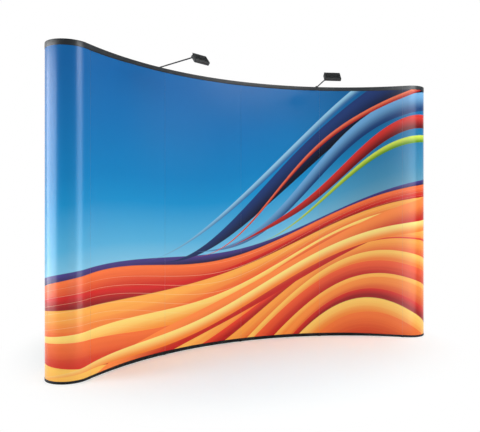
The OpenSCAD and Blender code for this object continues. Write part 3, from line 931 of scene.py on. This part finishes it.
def trim_outline(low, high, web_up):
    """U section with its web at the top or the foot. The crown bulges the front face."""
    shut, open_end = (high, low) if web_up else (low, high)
    inward = -TRIM_WALL if web_up else TRIM_WALL
    edge = TRIM_FRONT + TRIM_CROWN
    corners = [
        (edge, open_end, LIP_RADIUS),
        (GROOVE_FRONT, open_end, LIP_RADIUS),
        (GROOVE_FRONT, shut + inward, 0),
        (GROOVE_BACK, shut + inward, 0),
        (GROOVE_BACK, open_end, LIP_RADIUS),
        (TRIM_BACK, open_end, LIP_RADIUS),
        (TRIM_BACK, shut, SHOULDER_RADIUS),
        (edge, shut, SHOULDER_RADIUS),
    ]
    outline = rounded(corners)
    for share in CROWN_SHARES:
        bulge = TRIM_CROWN * (1 - (2 * share - 1) ** 2)
        outline.append(Vector((edge - bulge, open_end + (shut - open_end) * share)))
    return outline


def box_cutters(name, boxes):
    """One mesh of separate boxes, each given as its frame and its half sizes."""
    body = bmesh.new()
    for place, half in boxes:
        size = Matrix.Diagonal((*[2 * h for h in half], 1))
        bmesh.ops.create_cube(body, size=1, matrix=place @ size)
    mesh = bpy.data.meshes.new(name)
    body.to_mesh(mesh)
    body.free()
    return link(name, mesh)


def column_frame(column):
    """Frame of column 0 to 4 on the ground: X along the wall, Y back, at the centre of the curve."""
    return Matrix.Translation((0, CENTRE_Y, 0)) @ Matrix.Rotation(-(column - 2) * PITCH, 4, "Z")


def hanger_notches(name):
    """Cutters behind a panel's top trim, where the hanger pins of its bars stand."""
    height = WALL_TOP - HANGER_DROP
    half = (NOTCH / 2, NOTCH_DEPTH / 2, NOTCH / 2)
    boxes = []
    if name in FRONT_PANELS:
        number = int(name[-1])
        for column, side in ((number - 1, 1), (number, -1)):
            at = (side * HANGER_X, FACE_RADIUS + NOTCH_FRONT + NOTCH_DEPTH / 2, height)
            boxes.append((column_frame(column) @ Matrix.Translation(at), half))
    else:
        side = -1 if name == "left_end" else 1
        reach = HANGER_X + NOTCH / 2
        for back in (NOTCH_FRONT + NOTCH_DEPTH / 2, END_DEPTH - NOTCH_FRONT - NOTCH_DEPTH / 2):
            at = (side * reach / 2, FACE_RADIUS + back, height)
            column = column_frame(2 + 2 * side)
            boxes.append((column @ Matrix.Translation(at), (reach / 2, NOTCH_DEPTH / 2, NOTCH / 2)))
    return box_cutters(name + "_notches", boxes)


print("trim section:", len(trim_outline(0.0, 0.03, True)), "points, notches", NOTCH * 1000, "mm wide")

# %% Trims
# Height of each trim round the left end, along the front and round the right end, and how far along
# the front it eases from one to the next
TRIM_HEIGHTS = {"top_rail": (0.040, 0.0325, 0.0345), "foot_rail": (0.018, 0.026, 0.018)}
TRIM_EASE = 0.55
# Share of the height, from the web, that stays as it is
TRIM_KEPT = 0.62


def trim_height(part, name, point):
    """Height of a panel's trim at this point."""
    left, front, right = TRIM_HEIGHTS[part]
    if name in END_PANELS:
        return left if name == "left_end" else right
    along = math.atan2(point.x, point.y - CENTRE_Y) * FACE_RADIUS
    end = left if along < 0 else right
    share = min(max((FRONT_REACH - abs(along)) / TRIM_EASE, 0), 1)
    return end + (front - end) * share * share * (3 - 2 * share)


def set_trim_height(piece, part, name, web, lips):
    """Stretches a trim of one height between its web and its lips to its height at each place."""
    height = abs(lips - web)
    for vertex in piece.data.vertices:
        past = abs(vertex.co.z - web) / height - TRIM_KEPT
        if past > 0:
            growth = trim_height(part, name, vertex.co) - height
            vertex.co.z += math.copysign(growth * past / (1 - TRIM_KEPT), (lips - web) * growth)


def trimmed(stations):
    """The trim stops a little short of the panel's edges."""
    return [stations[0] + TRIM_INSET, *stations[1:-1], stations[-1] - TRIM_INSET]


for name, stations in ALL_PANELS.items():
    for part, finish, slot, web_up in (
        ("top_rail", TOP_TRIM, "trim_grey", True),
        ("foot_rail", FOOT_TRIM, "trim_black", False),
    ):
        node = f"{name}_{part}"
        low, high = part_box(node)
        outline = trim_outline(low.z, high.z, web_up)
        notches = hanger_notches(name) if web_up else None
        trim = name + "_" + part.replace("rail", "trim")
        piece = swept(trim, trimmed(stations), outline, finish, finish, PAST_TRIM, notches)
        web, lips = (high.z, low.z) if web_up else (low.z, high.z)
        set_trim_height(piece, part, name, web, lips)
        seat(piece, PANEL_BODY[name], slot, node)

# %% [markdown]
# ## The frame's pieces
#
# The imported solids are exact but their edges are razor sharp, and nothing moulded or sawn is. A copy
# of each piece that shows is merged into a closed mesh, and a small bevel rounds its edges. The
# tubes and their ends are merged for smooth shading alone. The pins, rivets, strips and tapes are
# small or hidden, and keep their solids with a finish.


# %% Eased copies
MERGE_WITHIN = 1e-6
FLAT_WITHIN = math.radians(0.5)
EASE_ABOVE = math.radians(38)
EASE_STEPS = 2


def eased(node, finish, slot, body, edge=0.0):
    """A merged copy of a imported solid, which stands for it. edge rounds its edges by so much."""
    mesh = frame["nodes"][node].data.copy()
    mesh.name = node + "_eased"
    shape = bmesh.new()
    shape.from_mesh(mesh)
    bmesh.ops.remove_doubles(shape, verts=shape.verts, dist=MERGE_WITHIN)
    bmesh.ops.dissolve_limit(
        shape, angle_limit=FLAT_WITHIN, verts=shape.verts, edges=shape.edges, delimit=set()
    )
    shape.to_mesh(mesh)
    shape.free()
    mesh.materials.clear()
    mesh.materials.append(finish)
    copy = link(node + "_raw", mesh)
    if edge:
        bevel = copy.modifiers.new("edges", "BEVEL")
        bevel.width = edge
        bevel.segments = EASE_STEPS
        bevel.limit_method = "ANGLE"
        bevel.angle_limit = EASE_ABOVE
        bevel.use_clamp_overlap = True
    seat(settled(copy, node + "_piece"), body, slot, node)


def refinish(node, finish):
    """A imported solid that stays, with a new finish."""
    solid = frame["nodes"][node]
    solid.data.materials.clear()
    solid.data.materials.append(finish)
    print(node, "keeps its solid, in", finish.name)


for node in ("front_hubs", "back_hubs"):
    eased(node, HUB_NYLON, "hub_plastic", "frame", 0.0007)
for number in (1, 2, 3, 4):
    eased(f"bay_tubes_{number}", TUBE_ALLOY, "tube_alloy", "frame")
for number in (1, 2, 3, 4, 5):
    eased(f"column_tubes_{number}", TUBE_ALLOY, "tube_alloy", "frame")
    eased(f"front_bar_{number}", BAR_COAT, "bar_black", "frame", 0.0005)
eased("rear_bars", BAR_COAT, "bar_black", "frame", 0.0005)
eased("front_posts", POST_ALLOY, "post_alloy", "frame", 0.0006)
eased("back_posts", POST_ALLOY, "post_alloy", "frame", 0.0006)
eased("feet", FOOT_RUBBER, "foot_rubber", "frame", 0.001)
eased("tube_ends", HUB_NYLON, "hub_plastic", "frame")
refinish("hub_pins", PIN_STEEL)
refinish("tube_rivets", PIN_STEEL)
refinish("bar_strips", STRIP_STEEL)
for name in ALL_PANELS:
    refinish(name + "_tapes", FERRITE_TAPE)

# %% [markdown]
# ## The lamps
#
# Two arm lamps clamp to the frame and lean out over the front. Clamp, arm and screws are eased
# copies of their solids. The head is built anew: a die-cast tray with a raised rim round its ribbed
# back, ears for the tilt screw, and a light board behind the glass. It is drawn once in its own
# frame, the tilt screw along X and the glass towards +Y, and then set on each arm.

# %% Head frames
HEAD_DIP = math.radians(38)
HEAD_W = 0.140
HEAD_H = 0.066
HEAD_NECK = 0.010
HEAD_CORNER = 0.008
LEAST_CORNER = 0.0012
CORNER_STEPS = 6
# Height of the head's middle, in its own frame
HEAD_MIDDLE = -HEAD_NECK - HEAD_H / 2


def head_frame(side):
    """Frame of a lamp head at rest, from its tilt joint."""
    joint = joints[f"{side}_head_tilt"]
    column = column_frame(1 if side == "left" else 3)
    turn = column.to_3x3().to_4x4() @ Matrix.Rotation(-HEAD_DIP, 4, "X")
    return Matrix.Translation(joint["pos_m"]) @ turn


def plate_ring(body, half_w, half_h, corner, y, middle_z):
    """Closed ring of points round a plate with round corners, at one depth."""
    corners = [(sx * half_w, sz * half_h, corner) for sx, sz in ((-1, -1), (1, -1), (1, 1), (-1, 1))]
    outline = rounded(corners, CORNER_STEPS)
    return [body.verts.new((point.x, y, point.y + middle_z)) for point in outline]


def lofted(rings, body):
    """Joins rings of equal count into a skin and closes both ends."""
    for first, second in zip(rings, rings[1:]):
        for index in range(len(first)):
            after = (index + 1) % len(first)
            body.faces.new((first[index], first[after], second[after], second[index]))
    body.faces.new(rings[0])
    body.faces.new(list(reversed(rings[-1])))


for side in ("left", "right"):
    print(side, "head turns about", [round(x, 3) for x in head_frame(side).translation])

# %% [markdown]
# The tray is a loft: each ring of points is the rounded outline, drawn in a little and set at its
# depth. Starting inside at the reflector and ending on the back, one chain of rings makes the seat
# of the glass, the bezel, the side with its draft, the rim and the sunk field of the back. The last
# rings stand taller than the first, so the back becomes a hood over the tilt screw.


# %% Head tray
# Inset from the head's outline, depth and raise of the top edge of each ring, from the reflector
# round to the back. The back stands up past the tilt screw as a hood.
TRAY_RINGS = [
    (0.0085, -0.0060, 0.0),
    (0.0040, 0.0085, 0.0),
    (0.0026, 0.0088, 0.0),
    (0.0025, 0.0136, 0.0),
    (0.0018, 0.0140, 0.0),
    (0.0008, 0.0139, 0.0),
    (0.0002, 0.0133, 0.0),
    (0.0000, 0.0122, 0.0),
    (0.0000, 0.0065, 0.0),
    (0.0004, 0.0000, 0.0),
    (0.0012, -0.0060, 0.0),
    (0.0022, -0.0099, 0.0),
    (0.0025, -0.0103, 0.0102),
    (0.0029, -0.0109, 0.0120),
    (0.0038, -0.0119, 0.0129),
    (0.0050, -0.0127, 0.0129),
    (0.0066, -0.0132, 0.0127),
    (0.0084, -0.0134, 0.0125),
    (0.0096, -0.0133, 0.0123),
    (0.0102, -0.0129, 0.0122),
    (0.0106, -0.0112, 0.0122),
]


def head_tray(name, place):
    body = bmesh.new()
    rings = [
        plate_ring(
            body,
            HEAD_W / 2 - inset,
            (HEAD_H + rise) / 2 - inset,
            max(HEAD_CORNER - inset, LEAST_CORNER),
            y,
            HEAD_MIDDLE + rise / 2,
        )
        for inset, y, rise in TRAY_RINGS
    ]
    lofted(rings, body)
    bmesh.ops.recalc_face_normals(body, faces=body.faces)
    mesh = bpy.data.meshes.new(name)
    body.to_mesh(mesh)
    body.free()
    mesh.transform(place)
    mesh.materials.append(LAMP_PAINT)
    return checked(link(name, mesh))


# %% Ears
EAR_IN = 0.0043
EAR_THICK = 0.004
EAR_RADIUS = 0.007
EAR_FOOT = -0.012
EAR_EASE = 0.0005
EAR_STEPS = 16
SCREW_BORE = 0.00255
BORE_STEPS = 20
# Turns a flat plate upright, with its thickness along the tilt screw
UPRIGHT = Matrix(((0, 0, 1, 0), (1, 0, 0, 0), (0, 1, 0, 0), (0, 0, 0, 1)))


def ear_outline():
    """Upright lug with a round head about the tilt screw."""
    head = [
        (EAR_RADIUS * math.cos(turn), EAR_RADIUS * math.sin(turn))
        for turn in (math.pi * step / EAR_STEPS for step in range(EAR_STEPS + 1))
    ]
    return [*head, (-EAR_RADIUS, EAR_FOOT), (EAR_RADIUS, EAR_FOOT)]


def bored_plate(name, outline, bore, thick, ease):
    """Flat curve with a hole, thickened and eased, as a mesh: X and Y in plan, Z its thickness."""
    curve = bpy.data.curves.new(name, "CURVE")
    curve.dimensions = "2D"
    curve.fill_mode = "BOTH"
    turns = [TURN * i / BORE_STEPS for i in range(BORE_STEPS)]
    hole = [(bore * math.cos(turn), bore * math.sin(turn)) for turn in turns]
    for points in (outline, hole):
        spline = curve.splines.new("POLY")
        spline.points.add(len(points) - 1)
        for knot, point in zip(spline.points, points):
            knot.co = (*point, 0, 1)
        spline.use_cyclic_u = True
    curve.extrude = thick / 2 - ease
    curve.bevel_depth = ease
    curve.bevel_resolution = 2
    curve.offset = -ease
    return settled(link(name + "_curve", curve), name)


def welded(piece):
    """Joins the rims of a curve's faces and walls into one closed mesh."""
    shape = bmesh.new()
    shape.from_mesh(piece.data)
    bmesh.ops.remove_doubles(shape, verts=shape.verts, dist=MERGE_WITHIN)
    shape.to_mesh(piece.data)
    shape.free()
    return checked(piece)


def head_ear(name, place, side):
    ear = bored_plate(name, ear_outline(), SCREW_BORE, EAR_THICK, EAR_EASE)
    shift = Matrix.Translation((side * (EAR_IN + EAR_THICK / 2), 0, 0))
    ear.data.transform(place @ shift @ UPRIGHT)
    ear.data.materials.append(LAMP_PAINT)
    return welded(ear)


print("ear outline:", len(ear_outline()), "points, bore", round(SCREW_BORE * 2000, 2), "mm")

# %% [markdown]
# ## What repeats on a lamp
#
# Cooling fins, light chips and the grips of a knob are one small shape set out many times: along a
# line, on a grid, round a ring. Geometry Nodes' Instance on Points does all three. One tree takes
# the points and the shape, realizes the copies and gives them their finish.


# %% The repeat tree
def repeat_tree():
    tree = bpy.data.node_groups.new("repeat_on_points", "GeometryNodeTree")
    tree.interface.new_socket("Copies", in_out="OUTPUT", socket_type="NodeSocketGeometry")
    ids = {
        name: tree_input(tree, name, kind)
        for name, kind in (
            ("Points", "NodeSocketGeometry"),
            ("Shape", "NodeSocketObject"),
            ("Turn per copy", "NodeSocketFloat"),
            ("Finish", "NodeSocketMaterial"),
        )
    }
    graph = Graph(tree)
    given = graph.node("NodeGroupInput", output="Points")
    shape = graph.node("GeometryNodeObjectInfo", {}, {0: given.twin("Shape")}, output="Geometry")
    number = graph.node("GeometryNodeInputIndex")
    turn = graph.node("ShaderNodeCombineXYZ", {}, {"X": number * given.twin("Turn per copy")})
    copies = graph.node(
        "GeometryNodeInstanceOnPoints", {}, {"Points": given, "Instance": shape, "Rotation": turn}
    )
    whole = graph.node("GeometryNodeRealizeInstances", {}, {0: copies})
    done = graph.node(
        "GeometryNodeSetMaterial", {}, {"Geometry": whole, "Material": given.twin("Finish")}
    )
    graph.node("NodeGroupOutput", {}, {"Copies": done})
    return tree, ids


REPEAT, REPEAT_IDS = repeat_tree()
print("repeat tree:", len(REPEAT.nodes), "nodes")


def repeated(name, points, shape, place, finish, turn=0.0):
    """Sets a shape on every point, turning it about X by the same angle more each time."""
    mesh = bpy.data.meshes.new(name + "_points")
    mesh.from_pydata(points, [], [])
    source = link(name + "_points", mesh)
    copies = source.modifiers.new("repeat", "NODES")
    copies.node_group = REPEAT
    for key, value in (("Shape", shape), ("Turn per copy", turn), ("Finish", finish)):
        copies[REPEAT_IDS[key]] = value
    piece = settled(source, name)
    drop(shape)
    piece.data.transform(place)
    return piece


# %% Small shapes
def block(name, size, edge):
    """Box with eased edges, centred on its own origin."""
    body = bmesh.new()
    bmesh.ops.create_cube(body, size=1, matrix=Matrix.Diagonal((*size, 1)))
    bmesh.ops.bevel(
        body, geom=body.edges[:], offset=edge, segments=EASE_STEPS, affect="EDGES", profile=0.5
    )
    mesh = bpy.data.meshes.new(name)
    body.to_mesh(mesh)
    body.free()
    return link(name, mesh)


def turned(name, outline, steps):
    """Solid turned about Y from (radius, y) points, the first and last on the axis."""
    body = bmesh.new()
    first = body.verts.new((0, outline[0][1], 0))
    last = body.verts.new((0, outline[-1][1], 0))
    turns = [TURN * i / steps for i in range(steps)]
    rings = [
        [body.verts.new((radius * math.cos(turn), y, radius * math.sin(turn))) for turn in turns]
        for radius, y in outline[1:-1]
    ]
    for i in range(steps):
        after = (i + 1) % steps
        body.faces.new((first, rings[0][i], rings[0][after]))
        body.faces.new((last, rings[-1][after], rings[-1][i]))
        for one, two in zip(rings, rings[1:]):
            body.faces.new((one[i], two[i], two[after], one[after]))
    bmesh.ops.recalc_face_normals(body, faces=body.faces)
    mesh = bpy.data.meshes.new(name)
    body.to_mesh(mesh)
    body.free()
    return link(name, mesh)


# %% Fins, light board and chips
# The fins stand in from the head's outline by this margin, with their feet at this depth, on a back
# that the hood makes taller
FIN_COUNT = 27
FIN_THICK = 0.0022
FIN_DEPTH = 0.0024
FIN_MARGIN = 0.0140
FIN_FOOT = -0.0109
FIN_EASE = 0.0006
HOOD_RISE = 0.0122
# The board is smaller than the head by this margin all round, and its middle lies at this depth
BOARD_MARGIN = 0.013
BOARD_THICK = 0.0016
BOARD_DEPTH = -0.0066
BOARD_EASE = 0.0004
CHIP_COLUMNS = 8
CHIP_ROWS = 3
# The outer chips stand in from the head's outline by this much, and all stand on the board's face
CHIP_MARGIN_X = 0.022
CHIP_MARGIN_Z = 0.020
CHIP_DEPTH = BOARD_DEPTH + BOARD_THICK / 2
CHIP_STEPS = 16
# A chip's lens from its sunk foot to its top, as (radius, height) points
CHIP_DOME = [
    (0, -0.0003),
    (0.0034, -0.0003),
    (0.0034, 0.0006),
    (0.0030, 0.0014),
    (0.0018, 0.0022),
    (0, 0.0025),
]


def spread(count, length):
    """So many places over this length, about its middle."""
    return [(i / (count - 1) - 0.5) * length for i in range(count)]


def head_fins(name, place):
    span = HEAD_W - 2 * FIN_MARGIN
    middle = HEAD_MIDDLE + HOOD_RISE / 2
    points = [(x, FIN_FOOT - FIN_DEPTH / 2, middle) for x in spread(FIN_COUNT, span)]
    fin_size = (FIN_THICK, FIN_DEPTH, HEAD_H + HOOD_RISE - 2 * FIN_MARGIN)
    fin = block(name + "_fin", fin_size, FIN_EASE)
    return repeated(name, points, fin, place, LAMP_PAINT)


def light_board(name, place):
    board_size = (HEAD_W - 2 * BOARD_MARGIN, BOARD_THICK, HEAD_H - 2 * BOARD_MARGIN)
    board = block(name, board_size, BOARD_EASE)
    board.data.transform(place @ Matrix.Translation((0, BOARD_DEPTH, HEAD_MIDDLE)))
    board.data.materials.append(BOARD_LACQUER)
    return checked(board)


def light_chips(name, place):
    points = [
        (x, CHIP_DEPTH, HEAD_MIDDLE + z)
        for x in spread(CHIP_COLUMNS, HEAD_W - 2 * CHIP_MARGIN_X)
        for z in spread(CHIP_ROWS, HEAD_H - 2 * CHIP_MARGIN_Z)
    ]
    chip = turned(name + "_chip", CHIP_DOME, CHIP_STEPS)
    return repeated(name, points, chip, place, PHOSPHOR)


print("each head:", FIN_COUNT, "fins and", CHIP_COLUMNS * CHIP_ROWS, "chips")

# %% Knob grips
# The tilt screw's knob, as its solid has it
KNOB_RADIUS = 0.009
KNOB_LENGTH = 0.010
GRIP_COUNT = 18
# A grip is shorter than the knob by this much, so wide round it and so high out of it, half sunk
GRIP_SHORT = 0.0016
GRIP_HIGH = 0.0010
GRIP_WIDE = 0.0014
GRIP_EASE = 0.0003


def knob_grips(name, place, start):
    """Ribs round a knob whose axis is X, and which starts at this distance along it."""
    turn = TURN / GRIP_COUNT
    points = [
        (start + KNOB_LENGTH / 2, KNOB_RADIUS * math.cos(turn * i), KNOB_RADIUS * math.sin(turn * i))
        for i in range(GRIP_COUNT)
    ]
    rib = block(name + "_rib", (KNOB_LENGTH - GRIP_SHORT, GRIP_HIGH, GRIP_WIDE), GRIP_EASE)
    return repeated(name, points, rib, place, KNUCKLE_NYLON, turn)


print("each tilt knob:", GRIP_COUNT, "grips")

# %% Lamps in place
# Distance along the tilt screw at which its knob starts
TILT_KNOB_START = 0.00835

for side in ("left", "right"):
    place = head_frame(side)
    head_body = f"{side}_head"
    seat(head_tray(f"{side}_head_tray", place), head_body, "lamp_paint", f"{side}_lamp_head")
    for label, sign in (("inner", -1), ("outer", 1)):
        seat(head_ear(f"{side}_head_{label}_ear", place, sign), head_body, "lamp_paint")
    seat(head_fins(f"{side}_head_fins", place), head_body, "lamp_paint")
    seat(light_board(f"{side}_light_board", place), head_body, "lamp_paint")
    seat(light_chips(f"{side}_light_chips", place), head_body, "lamp_glass")
    seat(knob_grips(f"{side}_tilt_knob_grips", place, TILT_KNOB_START), head_body, "knob_plastic")
    eased(f"{side}_lamp_glass", LAMP_GLASS, "lamp_glass", head_body, 0.0004)
    eased(f"{side}_lamp_tilt_screw", KNUCKLE_NYLON, "knob_plastic", head_body, 0.0005)
    eased(f"{side}_lamp_arm", ARM_PAINT, "lamp_paint", f"{side}_arm", 0.0005)
    eased(f"{side}_lamp_clamp", KNUCKLE_NYLON, "knob_plastic", "frame", 0.0008)
    eased(f"{side}_lamp_clamp_screw", KNUCKLE_NYLON, "knob_plastic", "frame", 0.0005)

# %% [markdown]
# ## The studio
#
# A pale floor carries the wall's soft shadow and fades to white close round it, so no horizon shows.
# The world looks white to the camera and through glass, but lights the wall gently, and gloss finds
# its end behind the camera dark, as in a real studio. A glossy curved face shows every lamp as a
# streak, so light and gloss are kept apart: the key light, the left light, the low fill and the back
# light give light alone, three lamps give gloss alone, and only the front light gives both. Of the
# three, a broad one at the left brightens the edge of the left end, and a tall narrow one draws an
# upright streak on each rounded end.

# %% Floor
FLOOR_RADIUS = 30.0
FLOOR_SIDES = 96
# Between these distances from the origin the floor turns to plain white
FADE_START = 1.1
FADE_END = 1.95
FLOOR_TONE = (0.86, 0.90, 0.895)
# The floor looks this much brighter than the light it gives back, as a white sweep does in a photo
FLOOR_LIFT = 1.31


def seen_ray(graph):
    """1 for rays that show a background: from the camera, off gloss and through glass."""
    path = graph.node("ShaderNodeLightPath", output="Is Camera Ray")
    shown = path + path.twin("Is Glossy Ray") + path.twin("Is Transmission Ray")
    return shown.ramp(0.0, 0.5)


def studio_floor():
    material = bpy.data.materials.new("studio_floor")
    material.use_nodes = True
    graph = Graph(material.node_tree)
    graph.tree.nodes.clear()
    place = graph.node("ShaderNodeTexCoord", output="Object")
    reach = graph.node("ShaderNodeVectorMath", {"operation": "LENGTH"}, {0: place}, output="Value")
    lift = 1 + (FLOOR_LIFT - 1) * seen_ray(graph)
    tone = graph.node("ShaderNodeVectorMath", {"operation": "SCALE"}, {0: FLOOR_TONE, "Scale": lift})
    cloth = graph.node("ShaderNodeBsdfDiffuse", {}, {"Color": tone})
    white = graph.node("ShaderNodeEmission", {}, {"Color": (1, 1, 1, 1), "Strength": 1.0})
    fade = reach.ramp(FADE_START, FADE_END) * seen_ray(graph)
    blend = graph.node("ShaderNodeMixShader", {}, {0: fade, 1: cloth, 2: white})
    output = graph.tree.nodes.new("ShaderNodeOutputMaterial")
    graph.tree.links.new(blend.socket, output.inputs["Surface"])
    return material


shape = bmesh.new()
bmesh.ops.create_circle(shape, cap_ends=True, segments=FLOOR_SIDES, radius=FLOOR_RADIUS)
floor_mesh = bpy.data.meshes.new("floor")
shape.to_mesh(floor_mesh)
shape.free()
floor_mesh.materials.append(studio_floor())
floor = link("floor", floor_mesh)
print("floor fades from", FADE_START, "to", FADE_END, "m")

# %% World
AMBIENT = 0.29
# The end of the studio behind the camera is dark, and gloss shows it: its direction, its depth, and
# the cosines to that direction between which it comes in
DARK_END = (0.342, -0.94, 0.0)
DARK_DEPTH = 0.8
DARK_FROM = -0.4
DARK_FULL = 0.6

world = bpy.data.worlds.new("studio")
world.use_nodes = True
bpy.context.scene.world = world
sky = Graph(world.node_tree)
sky.tree.nodes.clear()
heading = sky.node("ShaderNodeTexCoord", output="Generated")
facing = sky.node(
    "ShaderNodeVectorMath", {"operation": "DOT_PRODUCT"}, {0: heading, 1: DARK_END}, output="Value"
)
gloss_ray = sky.node("ShaderNodeLightPath", output="Is Glossy Ray")
dark = gloss_ray * facing.ramp(DARK_FROM, DARK_FULL) * DARK_DEPTH
strength = (AMBIENT + (1 - AMBIENT) * seen_ray(sky)) * (1 - dark)
glow = sky.node("ShaderNodeBackground", {}, {"Color": (1, 1, 1, 1), "Strength": strength})
sky_output = sky.tree.nodes.new("ShaderNodeOutputWorld")
sky.tree.links.new(glow.socket, sky_output.inputs["Surface"])
print("world ambient", AMBIENT)


# %% Lamps of the studio
# Watts for each square metre of a lamp's face to look as bright as a white of strength 1
POWER_PER_RADIANCE = 4.0


def soft_light(name, place, towards, size, radiance, diffuse=True, gloss=True):
    """Rectangular soft light. Its power follows from how bright its face should look."""
    data = bpy.data.lights.new(name, "AREA")
    data.shape = "RECTANGLE"
    data.size, data.size_y = size
    data.energy = radiance * POWER_PER_RADIANCE * size[0] * size[1]
    lamp = link(name, data)
    lamp.location = place
    lamp.rotation_euler = (Vector(towards) - Vector(place)).to_track_quat("-Z", "Y").to_euler()
    lamp.visible_camera = False
    lamp.visible_diffuse = diffuse
    lamp.visible_glossy = gloss
    print(name, "power", round(data.energy, 1), "W")


soft_light("key_light", (4.2, -3.6, 3.4), (-0.6, -0.3, 1.1), (2.6, 2.6), 5.3, gloss=False)
soft_light("front_light", (1.4, -3.4, 3.5), (0.3, 0.0, 1.2), (1.8, 1.3), 3.0)
soft_light("left_light", (-4.6, -0.4, 1.5), (-1.6, -0.4, 1.2), (1.6, 2.6), 4.2, gloss=False)
soft_light("left_gloss", (-4.4, 0.1, 1.4), (-1.6, -0.5, 1.2), (3.9, 3.2), 4.7, diffuse=False)
soft_light("left_streak", (-0.16, -1.70, 1.1), (-1.43, -0.57, 1.1), (0.9, 3.4), 3.4, diffuse=False)
soft_light("low_fill", (-0.5, -3.0, 0.5), (0.1, -0.2, 0.6), (2.6, 0.8), 2.2, gloss=False)
soft_light("back_light", (0.4, 5.2, 3.6), (0.0, 0.2, 0.9), (4.6, 2.6), 2.2, gloss=False)
soft_light("right_streak", (1.51, -1.37, 1.1), (2.26, -0.71, 1.1), (1.3, 3.4), 3.4, diffuse=False)

# %% [markdown]
# ## Last steps
#
# View transform Standard shows a colour about as it was written.

# %% Finish
bpy.context.scene.view_settings.view_transform = "Standard"
